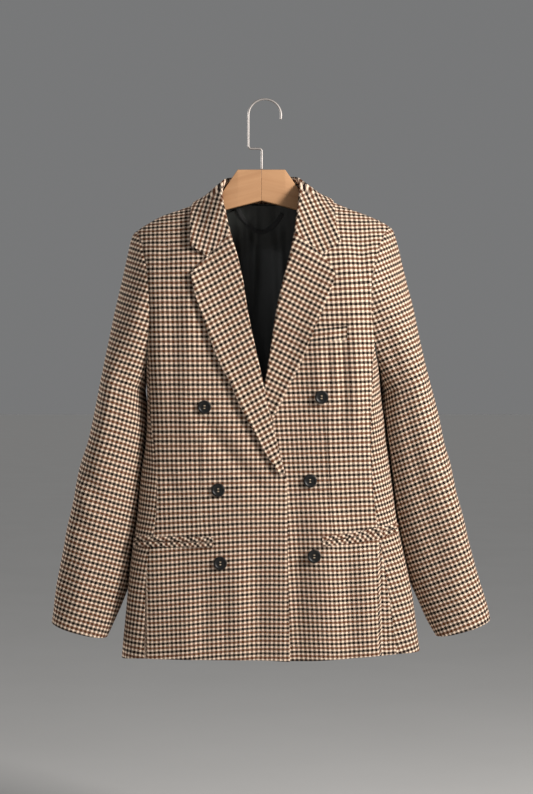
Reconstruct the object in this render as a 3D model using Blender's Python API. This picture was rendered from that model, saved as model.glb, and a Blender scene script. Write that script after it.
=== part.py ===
"""A double breasted blazer hanging on a wooden hanger.

Frame: +Z up, the front of the blazer faces -Y, and +X is the wearer's left.
The origin is the underside of the hook's bend, where a nail or a rail holds it.
Sizes and places are in millimetres and become metres when a mesh is made.
"""

import bmesh
import bpy
import numpy as np

MM = 0.001

# ---------------------------------------------------------------- driving sizes
CLOTH = 1.8            # suiting with its fusing
FOLDED_CLOTH = 2.0     # lapels and collar, turned out
JET_CLOTH = 1.2        # pocket jets and welt
LINING_CLOTH = 1.0
SEAM_GAP = 0.3         # between pieces that are sewn to each other
JET_GAP = 0.7          # under the pocket jets, which bend round to the side
LINING_GAP = 1.5       # between the backs and their lining
TAPE_GAP = 2.2         # between the lining and the neck tape
ROLL_RADIUS = 3.0      # outer radius of the fold along the lapels and the collar

NAPE_Z = -156.5        # neck seam at the centre back
NECK_POINT_X = 75.0    # neck seam on the shoulder
UNDERARM_Z = -424.0    # lowest point of the armhole
ARMHOLE_JOIN_Z = -376.0   # where the side panel meets the fronts and backs
BREAK_Z = -588.0       # upper end of the fronts' straight edges, where the lapels start
FRONT_EDGE_MIDDLE_Z = -690.0
SHOULDER_DROP = 108.0  # height over which the shoulder rounds into chest and back
OVERLAP_INSET = 6.5    # how far the under front lies inside the upper one

BUTTON_RADIUS = 10.25
BUTTON_THICKNESS = 3.6
WELT_HEIGHT = 21.8

HOOK_WIRE_RADIUS = 1.7
HOOK_BEND_RADIUS = 25.3
HOOK_BEND_X = 1.2
HOOK_JOG_Z = -75.0         # where the wire steps over to the hanger's middle
HOOK_CORNER_RADIUS = 4.5
HOOK_SHANK_X = -3.4
HANGER_CENTRE_X = -4.0
HANGER_TOP_Z = -108.1

# ---------------------------------------------------------------- tables of sections


def table(columns, *rows):
    """A table whose columns are read by name."""
    names = columns.split()
    return {name: np.array([row[i] for row in rows], float) for i, name in enumerate(names)}


# Half widths, depths and squareness of the body's rings, from the shoulder to the hem.
BODY = table(
    "z right left front back power",
    (-863, 221.5, 243.0, 56, 47, 3.0),
    (-812, 217.0, 236.0, 57, 47, 3.0),
    (-760, 212.0, 228.3, 58, 46, 3.0),
    (-696, 204.6, 215.2, 59, 45, 3.0),
    (-644, 196.0, 205.1, 59, 44, 3.1),
    (-593, 190.8, 198.7, 59, 44, 3.3),
    (-542, 185.0, 192.2, 60, 45, 3.6),
    (-503, 181.0, 187.0, 62, 47, 4.0),
    (-464, 180.0, 180.7, 65, 49, 4.4),
    (-424, 181.0, 178.0, 67, 51, 4.8),
    (-378, 183.5, 176.5, 68, 52, 5.0),
    (-315, 188.0, 177.0, 68, 52, 5.0),
    (-262, 196.0, 187.0, 67, 52, 5.0),
    (-205, 206.0, 204.0, 66, 52, 5.0),
    (-100, 206.0, 204.0, 66, 52, 5.0),
)

# The shoulder line, from the right shoulder over the neck to the left one.
SHOULDER = table(
    "x z",
    (-210, -212.0), (-202, -206.0), (-194, -200.0), (-179, -190.5), (-157, -178.8),
    (-134, -170.8), (-113, -163.2), (-75, -149.0), (-35, -131.0), (0, -119.0),
    (35, -129.5), (75, -145.5), (101, -155.0), (113, -160.0), (135, -169.0),
    (158, -177.5), (180, -187.0), (195, -196.0), (200, -200.5), (210, -208.0),
)

# Distance of the armhole seams from the centre, on the front and on the back.
ARMHOLE = table(
    "z right left right_back left_back",
    (-378, 177.5, 168.8, 176.5, 170.5),
    (-349, 175.0, 165.8, 177.0, 169.0),
    (-327, 174.3, 163.8, 177.5, 168.5),
    (-299, 175.6, 163.8, 179.0, 170.0),
    (-273, 178.1, 166.0, 181.0, 172.5),
    (-252, 181.6, 170.0, 184.0, 176.5),
    (-232, 186.2, 175.5, 187.5, 181.0),
    (-211, 193.0, 184.5, 193.0, 187.5),
    (-204, 196.3, 190.0, 196.3, 190.0),
    (-196, 196.3, 194.0, 196.3, 194.0),
)
ARMHOLE_TOP = {"right": -196.3, "left": 194.0}

# Distance of the side panels' seams from the centre: measured on the front, and as a
# share of the half width on the back.
SIDE_SEAM = table(
    "z right left back_share",
    (-863, 182.9, 204.0, 0.83),
    (-757, 181.4, 190.5, 0.82),
    (-705, 177.6, 182.0, 0.81),
    (-667, 168.5, 175.0, 0.80),
    (-617, 163.9, 168.5, 0.80),
    (-578, 163.7, 165.0, 0.81),
    (-541, 167.0, 163.5, 0.83),
    (-498, 174.0, 163.5, 0.86),
    (-430, 176.8, 165.5, 0.91),
    (-376, 177.3, 168.6, 0.96),
)

# The lapels: the roll line, then the outer edge, each from the gorge to the break.
LAPEL_ROLL = {
    "right": table("x z", (-49.9, -212.8), (-41.7, -239.1), (-31.9, -280.1), (-25.4, -321.2),
                   (-18.7, -357.4), (-1.9, -434.1), (5.5, -470.8), (14.6, -507.6),
                   (23.9, -544.3), (32.0, -575.0)),
    "left": table("x z", (45.3, -212.5), (38.8, -243.7), (30.4, -276.5), (20.7, -317.7),
                  (15.0, -350.6), (1.9, -434.1), (-7.0, -471.0), (-16.0, -508.0),
                  (-25.0, -544.0), (-33.0, -575.0)),
}
LAPEL_EDGE = {
    "right": table("x z", (-110.7, -273.5), (-106.4, -295.3), (-97.5, -326.4), (-87.7, -354.3),
                   (-64.5, -414.5), (-53.2, -434.2), (-34.9, -476.4), (-16.5, -509.4),
                   (1.9, -544.2), (23.5, -577.0)),
    "left": table("x z", (108.4, -271.8), (103.4, -290.5), (96.1, -309.3), (88.9, -328.1),
                  (80.2, -348.4), (64.3, -387.6), (44.0, -434.1), (20.2, -480.0),
                  (-1.0, -535.0), (-24.5, -577.0)),
}

# The front neck seam between the shoulder and the roll line.
NECKLINE = {
    "right": ((-71.5, -163.0), (-64.5, -183.0)),
    "left": ((68.5, -162.0), (60.0, -183.0)),
}

# Distance of the fronts' edges from the centre at the top, at the middle and at the hem.
FRONT_EDGE = {"right": (35.0, 36.2, 39.6), "left": (-36.0, -36.5, -38.0)}

# The collar, from the centre back to the gorge: its roll line, its outer edge, the place
# of its stand along the neck seam, and how far the stand's lower edge lies beyond that
# seam and below the cloth's surface.
COLLAR = {
    "right": table(
        "roll_x roll_y roll_z edge_x edge_y edge_z seam beyond below",
        (0, 34, -112, 0, 38, -165, 0, 0.7, 1.6),
        (-24, 31, -113, -40, 35, -165.5, 0.165, 0.8, 1.4),
        (-43, 23, -116, -78, 24, -164.5, 0.33, 1.5, 0.8),
        (-57.5, 7, -121, -107, 4, -157, 0.483, 2.4, 0),
        (-63.5, -13, -133, -113, -15, -170, 0.545, 2.4, 0),
        (-63.5, -32, -151, -113.5, -33, -192, 0.63, 2.4, 0.7),
        (-58.5, -46, -175, -112.5, -48, -209, 0.775, 2.6, 1.8),
        (-49.9, -53, -212.8, -111.8, -56, -229.6, 1, 1.2, 2.9),
    ),
    "left": table(
        "roll_x roll_y roll_z edge_x edge_y edge_z seam beyond below",
        (0, 34, -112, 0, 38, -165, 0, 0.7, 1.6),
        (20, 31, -113, 38, 35, -165, 0.165, 0.8, 1.4),
        (37, 23, -115.5, 74, 24, -162, 0.33, 1.5, 0.8),
        (50, 7, -119, 103, 4, -153.5, 0.483, 2.4, 0),
        (53.5, -12, -131, 109, -15, -166.5, 0.545, 2.4, 0),
        (53.3, -31, -150, 109.5, -33, -188, 0.63, 2.4, 0.7),
        (50.0, -46, -175, 112.5, -48, -206, 0.775, 2.6, 1.8),
        (45.3, -53, -212.5, 116.8, -55, -224.5, 1, 1.2, 2.9),
    ),
}
COLLAR_NOTCH = {"right": (-85.5, -248.3), "left": (88.2, -245.6)}   # x and z
NOTCH_SHARE = 0.6      # its place along the ends of the collar and the lapels

STAND_STEPS, FALL_STEPS, LAPEL_STEPS = 7, 5, 13
FALL_BULGE = 1.2       # how far the collar's fall is bowed outwards
RIDGE_LIFT, RIDGE_REACH = 2.5, 12.0   # extra height of the fall over the shoulder line

# The sleeves below the armhole: the outer and the inner end of each ring, its half depth,
# its middle in depth, how far the inner end lies behind the outer one, and the place of
# the front seam round the ring in degrees from the outer end.
SLEEVE = {
    "right": table(
        "outer_z outer_x inner_x inner_z half_depth centre_y skew front_seam",
        (-808, -329.9, -243.0, -831.5, 33, 2, 3, 112),
        (-790, -326.9, -234.5, -812.5, 34, 3, 6, 106),
        (-755, -321.5, -219.5, -778.0, 36, 4, 12, 104),
        (-696, -308.8, -200.0, -721.0, 40, 6, 17, 110),
        (-632, -295.8, -188.0, -655.0, 45, 6, 19, 119),
        (-567, -283.0, -181.0, -588.0, 50, 5, 18, 128),
        (-494, -264.6, -178.0, -512.0, 55, 3, 14, 134),
        (-433, -252.2, -184.0, -450.0, 58, 1, 8, 135),
    ),
    "left": table(
        "outer_z outer_x inner_x inner_z half_depth centre_y skew front_seam",
        (-803, 351.1, 266.5, -829.5, 33, 2, 3, 124),
        (-785, 347.0, 254.5, -809.0, 34, 3, 6, 118),
        (-750, 335.8, 238.0, -772.0, 36, 4, 12, 108),
        (-696, 320.0, 216.0, -721.0, 40, 6, 17, 112),
        (-632, 303.5, 197.0, -655.0, 45, 6, 19, 128),
        (-567, 287.4, 184.0, -588.0, 50, 5, 18, 134),
        (-494, 271.3, 178.0, -512.0, 55, 3, 14, 136),
        (-433, 257.2, 182.0, -450.0, 58, 1, 8, 135),
    ),
}
BACK_SLEEVE_SEAM = 255.0       # degrees round the ring
SLEEVE_HEAD_BULGE = 9.0
CUFF_FRONT_DROP = 4.0
SLEEVE_CLEARANCE = 2.5         # between a sleeve and the body that it lies against

# Height of the hem across the front and the back.
HEM = table("x z", (-230, -863), (-182, -859.5), (-114, -860), (0, -861), (46, -862.5),
            (99, -860), (165, -855.5), (203, -853), (250, -851))

# Middle lines of the hip pockets and of their two jets' outer edges.
POCKET = {
    "right": table("x split top bottom", (-197.5, -680.6, -672.6, -688.6),
                   (-140, -680.6, -672.6, -688.6), (-77, -680.8, -672.8, -688.8)),
    "left": table("x split top bottom", (88.3, -679.4, -671.5, -686.9),
                  (130, -674.4, -667.6, -682.9), (168, -667.6, -659.5, -677.6),
                  (200, -662.0, -654.8, -667.6)),
}
WELT = table("x bottom", (60, -380.2), (72.8, -378.8), (125.6, -373.2))

# Each button: the front that it is sewn to, its x and z, and the length of its thread.
BUTTON_PLACES = {
    "button_1": ("right", -90.0, -474.9, 0.6),
    "button_2": ("right", -69.4, -601.2, 0.6),
    "button_3": ("right", -66.1, -712.2, 0.6),
    "button_4": ("left", 87.2, -460.2, 1.2),
    "button_5": ("left", 70.1, -587.4, 1.2),
    "button_6": ("left", 76.1, -701.6, 1.2),
}

# Each hanger half, by distance from the middle: top and bottom of the wood, half its
# thickness, and how much its top is rounded to sit under the cloth.
HANGER = table(
    "out top bottom half_depth roof",
    (0, -108.1, -156.5, 6.5, 0),
    (36.8, -108.1, -165.6, 6.2, 0),
    (58.4, -139.3, -171.2, 5.4, 0),
    (66, -150.3, -173.5, 4.8, 1),
    (110, -172.0, -190.0, 6.0, 1),
    (150, -187.0, -203.0, 5.8, 1),
    (180, -206.0, -214.0, 5.0, 1),
)

# The back lining's share of the half width, its half width at the top and its hem.
LINING_SHARE = 0.78
LINING_TOP_WIDTH = 190.0
LINING_HEM_Z = -838.0

# The neck tape's middle line, from its right end to its left one.
NECK_TAPE = ((-44, -160), (-36.5, -173), (-26, -186), (-12.7, -196.5), (-2.5, -198),
             (12.5, -190), (22, -182), (30, -170))
TAPE_HALF_WIDTH = 3.0

SIDES = {"right": -1.0, "left": 1.0}
FRONT, BACK = -1.0, 1.0

# ---------------------------------------------------------------- smooth curves


def read(rows, column, at, key="z"):
    """A column's value at a place along the table, on a smooth curve through its rows."""
    order = np.argsort(rows[key])
    x, y = rows[key][order], rows[column][order]
    step = np.diff(x)
    slope = np.diff(y) / step
    tangent = np.empty_like(y)
    tangent[0], tangent[-1] = slope[0], slope[-1]
    before, after = slope[:-1], slope[1:]
    weight = 2.0 * (step[:-1] + step[1:])
    with np.errstate(divide="ignore", invalid="ignore"):
        mean = weight / ((step[:-1] + 2 * step[1:]) / before + (2 * step[:-1] + step[1:]) / after)
    tangent[1:-1] = np.where(before * after > 0, mean * 1.5, 0.0)
    at = np.clip(np.asarray(at, float), x[0], x[-1])
    i = np.clip(np.searchsorted(x, at, side="right") - 1, 0, len(x) - 2)
    h = step[i]
    t = (at - x[i]) / h
    return (
        y[i] * (1 + 2 * t) * (1 - t) ** 2
        + tangent[i] * h * t * (1 - t) ** 2
        + y[i + 1] * t * t * (3 - 2 * t)
        + tangent[i + 1] * h * t * t * (t - 1)
    )


def smooth(points, count, end=1.0):
    """A smooth curve through the points, as count steps of equal length."""
    points = np.array(points, float)
    along = np.concatenate([[0], np.cumsum(np.linalg.norm(np.diff(points, axis=0), axis=1))])
    rows = {"s": along}
    names = [f"c{i}" for i in range(points.shape[1])]
    rows.update(zip(names, points.T))
    fine = np.linspace(0, along[-1], 40 * len(points))
    curve = np.stack([read(rows, name, fine, "s") for name in names], axis=1)
    length = np.concatenate([[0], np.cumsum(np.linalg.norm(np.diff(curve, axis=0), axis=1))])
    wanted = length[-1] * np.linspace(0, 1, count + 1) ** end
    return np.stack([np.interp(wanted, length, curve[:, i]) for i in range(curve.shape[1])], axis=1)


def join(*curves):
    """Curves end to end, without their doubled points."""
    return np.concatenate([curves[0]] + [curve[1:] for curve in curves[1:]])


def patch(top, bottom, first, last):
    """A grid filled in between four edge curves: rows run from first to last."""
    v = np.linspace(0, 1, len(first))[:, None, None]
    u = np.linspace(0, 1, len(top))[None, :, None]
    ruled = (1 - v) * top[None] + v * bottom[None] + (1 - u) * first[:, None] + u * last[:, None]
    corners = (1 - v) * ((1 - u) * top[0] + u * top[-1]) + v * ((1 - u) * bottom[0] + u * bottom[-1])
    return ruled - corners


def unit(vectors):
    """The vectors at length one."""
    return vectors / np.maximum(np.linalg.norm(vectors, axis=-1, keepdims=True), 1e-12)


# ---------------------------------------------------------------- the body's surface


def half_width(x, z):
    """Half width of the body's ring at a height, on the side that x is on."""
    return np.where(np.asarray(x) < 0, read(BODY, "right", z), read(BODY, "left", z))


def shoulder_z(x):
    """Height of the shoulder line."""
    return read(SHOULDER, "z", x, "x")


def shoulder_round(x, z):
    """How much of its full depth the body has reached below the shoulder line."""
    drop = np.clip((shoulder_z(x) - z) / SHOULDER_DROP, 0, 1)
    return (1 - (1 - drop) ** 1.6) ** 0.8


def depth(x, z, face):
    """Distance of the body's front or back surface from the plane of the hanger."""
    power = read(BODY, "power", z)
    share = np.clip(np.abs(x) / half_width(x, z), 0, 1)
    full = np.where(np.asarray(face) < 0, read(BODY, "front", z), read(BODY, "back", z))
    return full * (1 - share**power) ** (1 / power) * shoulder_round(x, z)


def body_points(x, z, face):
    """Points of the front or the back surface."""
    return np.stack([x, face * depth(x, z, face), z], axis=-1)


def ring_points(angle, z, side):
    """Points of the body by angle: 0 is the side, plus is towards the front, in degrees."""
    power = read(BODY, "power", z)
    turn = np.radians(angle)
    x = side * half_width(side, z) * np.abs(np.cos(turn)) ** (2 / power)
    full = np.where(angle > 0, read(BODY, "front", z), read(BODY, "back", z))
    y = -np.sign(turn) * full * np.abs(np.sin(turn)) ** (2 / power) * shoulder_round(x, z)
    return np.stack([x, y, z], axis=-1)


def ring_angle(x, z):
    """The ring angle of a place on the front or back surface."""
    share = np.clip(np.abs(x) / half_width(x, z), 0, 1)
    return np.degrees(np.arccos(share ** (read(BODY, "power", z) / 2)))


def body_level(points):
    """Zero on the body's surface and growing outwards."""
    x, y, z = np.moveaxis(points, -1, 0)
    power = read(BODY, "power", z)
    full = np.where(y < 0, read(BODY, "front", z), read(BODY, "back", z))
    rounded = shoulder_round(x, z)
    return rounded**power * ((np.abs(x) / half_width(x, z)) ** power - 1) + (np.abs(y) / full) ** power


def body_normals(points):
    """Outward directions of the body's surface."""
    step = 0.02
    slopes = [body_level(points + step * axis) - body_level(points - step * axis) for axis in np.eye(3)]
    normals = unit(np.stack(slopes, axis=-1))
    x, z = points[..., 0], points[..., 2]
    on_top = shoulder_z(x) - z < 0.6
    ridge = np.stack([shoulder_z(x - 1) - shoulder_z(x + 1), 0 * x, 0 * x + 2.0], axis=-1)
    return np.where(on_top[..., None], unit(ridge), normals)


def under_inset(x, z):
    """How far the under front lies inside the body's surface where the fronts overlap."""
    across = np.clip((110.0 - x) / 74.0, 0, 1)
    down = np.clip((-235.0 - z) / 175.0, 0, 1)
    return OVERLAP_INSET * across**2 * (3 - 2 * across) * down**2 * (3 - 2 * down)


def front_surface(side, x, z):
    """Points and outward directions of one front's outer surface."""
    points = body_points(x, z, FRONT)
    normals = body_normals(points)
    if side == "left":
        points = points - normals * under_inset(x, z)[..., None]
    return points, normals


# ---------------------------------------------------------------- meshes


def material(name, colour, roughness, metallic=0.0):
    """A plain material for one kind of piece."""
    made = bpy.data.materials.new(name)
    made.use_nodes = True
    shader = made.node_tree.nodes["Principled BSDF"]
    shader.inputs["Base Color"].default_value = (*colour, 1)
    shader.inputs["Roughness"].default_value = roughness
    shader.inputs["Metallic"].default_value = metallic
    made.diffuse_color = (*colour, 1)
    return made


def add_object(name, vertices, faces, finish):
    """One named piece from points in millimetres, with its faces turned outwards."""
    mesh = bpy.data.meshes.new(name)
    mesh.from_pydata((np.asarray(vertices) * MM).tolist(), [], [list(face) for face in faces])
    work = bmesh.new()
    work.from_mesh(mesh)
    bmesh.ops.recalc_face_normals(work, faces=work.faces)
    if work.calc_volume(signed=True) < 0:
        bmesh.ops.reverse_faces(work, faces=work.faces)
    work.to_mesh(mesh)
    work.free()
    mesh.shade_smooth()
    mesh.set_sharp_from_angle(angle=np.radians(50))
    piece = bpy.data.objects.new(name, mesh)
    piece.data.materials.append(FINISHES[finish])
    bpy.context.scene.collection.objects.link(piece)
    return piece


def eased(grid):
    """The grid with its four edges drawn in by half a seam gap."""
    grid = grid.copy()
    half = SEAM_GAP / 2
    grid[:, 0] += half * unit(grid[:, 1] - grid[:, 0])
    grid[:, -1] += half * unit(grid[:, -2] - grid[:, -1])
    grid[0] += half * unit(grid[1] - grid[0])
    grid[-1] += half * unit(grid[-2] - grid[-1])
    return grid


def wall(name, grid, normals, thickness, finish):
    """A sheet of cloth: the grid is its outer face, and its thickness lies inside."""
    grid = eased(grid)
    rows, columns = grid.shape[:2]
    inner = grid - normals * thickness
    vertices = np.concatenate([grid.reshape(-1, 3), inner.reshape(-1, 3)])
    place = np.arange(rows * columns).reshape(rows, columns)
    a, b = place[:-1, :-1].ravel(), place[:-1, 1:].ravel()
    c, d = place[1:, 1:].ravel(), place[1:, :-1].ravel()
    below = rows * columns
    faces = list(zip(a, b, c, d)) + list(zip(d + below, c + below, b + below, a + below))
    rim = np.concatenate([place[0, :-1], place[:-1, -1], place[-1, :0:-1], place[:0:-1, 0]])
    following = np.roll(rim, -1)
    faces += list(zip(following, rim, rim + below, following + below))
    return add_object(name, vertices, faces, finish)


def directions(grid, axis, around=False):
    """Directions along a grid's rows or columns, halfway between those of their two steps."""
    grid = np.moveaxis(grid, axis, 0)
    steps = unit(np.diff(grid, axis=0))
    if around:
        closing = unit(grid[:1] - grid[-1:])
        before, after = np.concatenate([closing, steps]), np.concatenate([steps, closing])
    else:
        before, after = np.concatenate([steps[:1], steps]), np.concatenate([steps, steps[-1:]])
    return np.moveaxis(unit(before + after), 0, axis)


def grid_normals(grid, around=False):
    """Directions square to a grid: rows run down and columns run round it."""
    return unit(np.cross(directions(grid, 0), directions(grid, 1, around)))


def tube(name, path, radius, sides, finish):
    """A round wire along a path in a plane of constant y, with domed ends."""
    path = np.array(path, float)
    direction = unit(np.gradient(path, axis=0))
    width = np.full(len(path), radius)
    steps = np.array([0.0, 0.5, 0.87])
    caps = radius * np.sqrt(1 - steps**2)
    head = path[0] - direction[0] * radius * steps[:0:-1, None]
    tail = path[-1] + direction[-1] * radius * steps[1:, None]
    direction = np.concatenate([direction[:1].repeat(2, 0), direction, direction[-1:].repeat(2, 0)])
    path = np.concatenate([head, path, tail])
    width = np.concatenate([caps[:0:-1], width, caps[1:]])
    depth_axis = np.array([0.0, 1.0, 0.0])
    side_axis = np.cross(direction, depth_axis)
    turn = np.linspace(0, 2 * np.pi, sides, endpoint=False)
    ring = np.cos(turn)[None, :, None] * side_axis[:, None] + np.sin(turn)[None, :, None] * depth_axis
    points = path[:, None] + width[:, None, None] * ring
    return loft(name, points, finish)


def loft(name, rings, finish):
    """A solid through closed rings, with flat ends."""
    count, sides = rings.shape[:2]
    place = np.arange(count * sides).reshape(count, sides)
    turned = np.roll(place, -1, axis=1)
    faces = list(
        zip(place[:-1].ravel(), turned[:-1].ravel(), turned[1:].ravel(), place[1:].ravel())
    )
    faces += [tuple(place[0]), tuple(place[-1, ::-1])]
    return add_object(name, rings.reshape(-1, 3), faces, finish)


# ---------------------------------------------------------------- outlines shared by pieces

ARMHOLE_STEPS = 8      # along each of the armhole's front, bottom and back
SEAM_STEPS = 13        # along a side seam
SHOULDER_CROWDING = 1.8   # draws the rows together towards the shoulder line


def armhole_curve(side, face):
    """The armhole from the shoulder seam down to the side panel, as x and z."""
    sign = SIDES[side]
    column = side if face == FRONT else f"{side}_back"
    top_x = ARMHOLE_TOP[side]
    z = np.concatenate([[float(shoulder_z(top_x))], np.linspace(-214, ARMHOLE_JOIN_Z, 14)])
    x = sign * read(ARMHOLE, column, z)
    x[0] = top_x
    return smooth(np.stack([x, z], axis=1), ARMHOLE_STEPS, SHOULDER_CROWDING)


def hem_z(x):
    """Height of the hem."""
    return read(HEM, "z", x, "x")


def side_seam_curve(side, face):
    """The seam beside the side panel, from the armhole to the hem, as x and z."""
    sign = SIDES[side]
    z = np.linspace(ARMHOLE_JOIN_Z, -850, 24)
    if face == FRONT:
        x = sign * read(SIDE_SEAM, side, z)
    else:
        x = sign * read(SIDE_SEAM, "back_share", z) * half_width(sign, z)
    x[0] = armhole_curve(side, face)[-1][0]
    end_z = float(hem_z(x[-1]))
    points = np.stack([np.append(x, x[-1] + (x[-1] - x[-2]) * 0.3), np.append(z, end_z)], axis=1)
    return smooth(points, SEAM_STEPS)


def pulled_back(curve, side, distance):
    """A front's inner edge, drawn back from the roll line."""
    along = unit(np.gradient(curve, axis=0))
    away = np.stack([along[:, 1], -along[:, 0]], axis=1)
    away *= np.sign(away[:, :1]) * SIDES[side]
    return curve + away * distance


def roll_line(side, steps, distance):
    """The lapel's roll line, drawn back from its fold, as x and z."""
    roll = LAPEL_ROLL[side]
    curve = smooth(np.stack([roll["x"], roll["z"]], axis=1), steps)
    return pulled_back(curve, side, distance)


def neckline_curve(side, steps):
    """The front neck seam, from the shoulder to the gorge, as x and z."""
    x = SIDES[side] * NECK_POINT_X
    last = roll_line(side, 9, ROLL_RADIUS + SEAM_GAP)[0]
    return smooth([(x, float(shoulder_z(x))), *NECKLINE[side], last], steps, SHOULDER_CROWDING)


def back_neck_curve(side, steps):
    """The back neck seam, from the centre to the shoulder, as x and z."""
    share = np.linspace(0, 1, steps + 1) ** 0.6
    x = SIDES[side] * NECK_POINT_X * share
    return np.stack([x, NAPE_Z + (shoulder_z(x[-1]) - NAPE_Z) * share**8], axis=1)


# ---------------------------------------------------------------- fronts, sides and backs


def front_panel(side):
    """One front, from the shoulder seam to the hem and from its edge to the side seam."""
    sign = SIDES[side]
    columns = 9
    neck_x = sign * NECK_POINT_X
    ridge_x = np.linspace(neck_x, ARMHOLE_TOP[side], columns + 1)
    top = np.stack([ridge_x, shoulder_z(ridge_x)], axis=1)
    roll_curve = roll_line(side, 9, ROLL_RADIUS + SEAM_GAP)
    neck = neckline_curve(side, 4)[:-1]
    corner_x, waist_x, hem_x = FRONT_EDGE[side]
    places = [(corner_x, BREAK_Z), (waist_x, FRONT_EDGE_MIDDLE_Z), (hem_x, float(hem_z(hem_x)))]
    inner = np.concatenate([neck, roll_curve, smooth(places, 7)])
    outer = join(armhole_curve(side, FRONT), side_seam_curve(side, FRONT))
    hem_x = np.linspace(inner[-1][0], outer[-1][0], columns + 1)
    bottom = np.stack([hem_x, hem_z(hem_x)], axis=1)
    flat = patch(top, bottom, inner, outer)
    points, normals = front_surface(side, flat[..., 0], flat[..., 1])
    wall(f"front_{side}", points, normals, CLOTH, "check")


def back_panel(side):
    """One back, from the neck and shoulder seams to the hem."""
    neck = back_neck_curve(side, 5)
    ridge_x = np.linspace(neck[-1][0], ARMHOLE_TOP[side], 7)
    top = join(neck, np.stack([ridge_x, shoulder_z(ridge_x)], axis=1))
    outer = join(armhole_curve(side, BACK), side_seam_curve(side, BACK))
    rows = len(outer) - 1
    inner = smooth([(0, NAPE_Z), (0, -500), (0, float(hem_z(0)))], rows, 1.6)
    hem_x = np.linspace(0, outer[-1][0], len(top))
    bottom = np.stack([hem_x, hem_z(hem_x)], axis=1)
    flat = patch(top, bottom, inner, outer)
    points = body_points(flat[..., 0], flat[..., 1], BACK)
    wall(f"back_{side}", points, body_normals(points), CLOTH, "check")


def armhole_bottom(side):
    """The armhole's lowest stretch on the side panel, as ring angle and z."""
    front = armhole_curve(side, FRONT)[-1]
    back = armhole_curve(side, BACK)[-1]
    front_angle = float(ring_angle(front[0], front[1]))
    back_angle = float(ring_angle(back[0], back[1]))
    turn = np.linspace(0, np.pi, ARMHOLE_STEPS + 1)
    along = 0.3 * np.cos(turn) + 0.7 * (1 - turn / (np.pi / 2))
    angle = along * np.where(turn < np.pi / 2, front_angle, back_angle)
    z = ARMHOLE_JOIN_Z + (UNDERARM_Z - ARMHOLE_JOIN_Z) * np.sin(turn)
    return np.stack([angle, z], axis=1)


def side_panel(side):
    """The panel between a front and a back, from the underarm to the hem."""
    sign = SIDES[side]
    top = armhole_bottom(side)
    front_seam = side_seam_curve(side, FRONT)
    back_seam = side_seam_curve(side, BACK)
    first = np.stack([ring_angle(front_seam[:, 0], front_seam[:, 1]), front_seam[:, 1]], axis=1)
    last = np.stack([-ring_angle(back_seam[:, 0], back_seam[:, 1]), back_seam[:, 1]], axis=1)
    first[0], last[0] = top[0], top[-1]
    end_angles = np.linspace(first[-1][0], last[-1][0], ARMHOLE_STEPS + 1)
    end_z = hem_z(ring_points(end_angles, np.full(len(end_angles), -860.0), sign)[:, 0])
    bottom = np.stack([end_angles, end_z], axis=1)
    bottom[0], bottom[-1] = first[-1], last[-1]
    flat = patch(top, bottom, first, last)
    points = ring_points(flat[..., 0], flat[..., 1], sign)
    wall(f"side_{side}", points, body_normals(points), CLOTH, "check")


# ---------------------------------------------------------------- sleeves


def armhole_ring(side):
    """The whole armhole seam, from the shoulder down the front and up the back."""
    sign = SIDES[side]
    front = armhole_curve(side, FRONT)
    back = armhole_curve(side, BACK)
    bottom = armhole_bottom(side)
    front_points = body_points(front[:, 0], front[:, 1], FRONT)
    back_points = body_points(back[:, 0], back[:, 1], BACK)
    bottom_points = ring_points(bottom[:, 0], bottom[:, 1], sign)
    return np.concatenate([front_points, bottom_points[1:-1], back_points[:0:-1]])


FRONT_SEAM_STEP, BACK_SEAM_STEP, ROUND_STEPS = 9, 17, 24


def ring_turns(front_seam):
    """Angles round a sleeve ring, with a point on each of its two seams."""
    stops = [0, FRONT_SEAM_STEP, BACK_SEAM_STEP, ROUND_STEPS]
    turns = [0, front_seam, BACK_SLEEVE_SEAM, 360]
    return np.radians(np.interp(np.arange(ROUND_STEPS), stops, turns))


def sleeve_ring(side, outer_z):
    """A whole ring of the sleeve below the armhole."""
    rows = SLEEVE[side]
    value = {name: float(read(rows, name, outer_z, "outer_z")) for name in rows}
    outer = np.array([value["outer_x"], value["centre_y"] - value["skew"], outer_z])
    inner = np.array([value["inner_x"], value["centre_y"] + value["skew"], value["inner_z"]])
    turn = ring_turns(value["front_seam"])
    middle, half = (outer + inner) / 2, (outer - inner) / 2
    cosine, sine = np.cos(turn), np.sin(turn)
    squared = np.sign(cosine) * np.abs(cosine) ** 0.92
    points = middle + squared[:, None] * half
    points[:, 1] -= value["half_depth"] * np.sign(sine) * np.abs(sine) ** 0.92
    points[:, 2] -= CUFF_FRONT_DROP * sine
    return points


def clear_of_body(points, side, clearance):
    """Points moved out sideways until they clear the body's side."""
    sign = SIDES[side]
    x, y, z = np.moveaxis(points, -1, 0)
    power = read(BODY, "power", z)
    full = np.where(y < 0, read(BODY, "front", z), read(BODY, "back", z)) + clearance
    share = np.clip(np.abs(y) / full, 0, 1)
    reach = (half_width(sign, z) + clearance) * (1 - share**power) ** (1 / power)
    below = z < UNDERARM_Z + 10
    x = np.where(below, sign * np.maximum(sign * x, reach), x)
    return np.stack([x, y, z], axis=-1)


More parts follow.
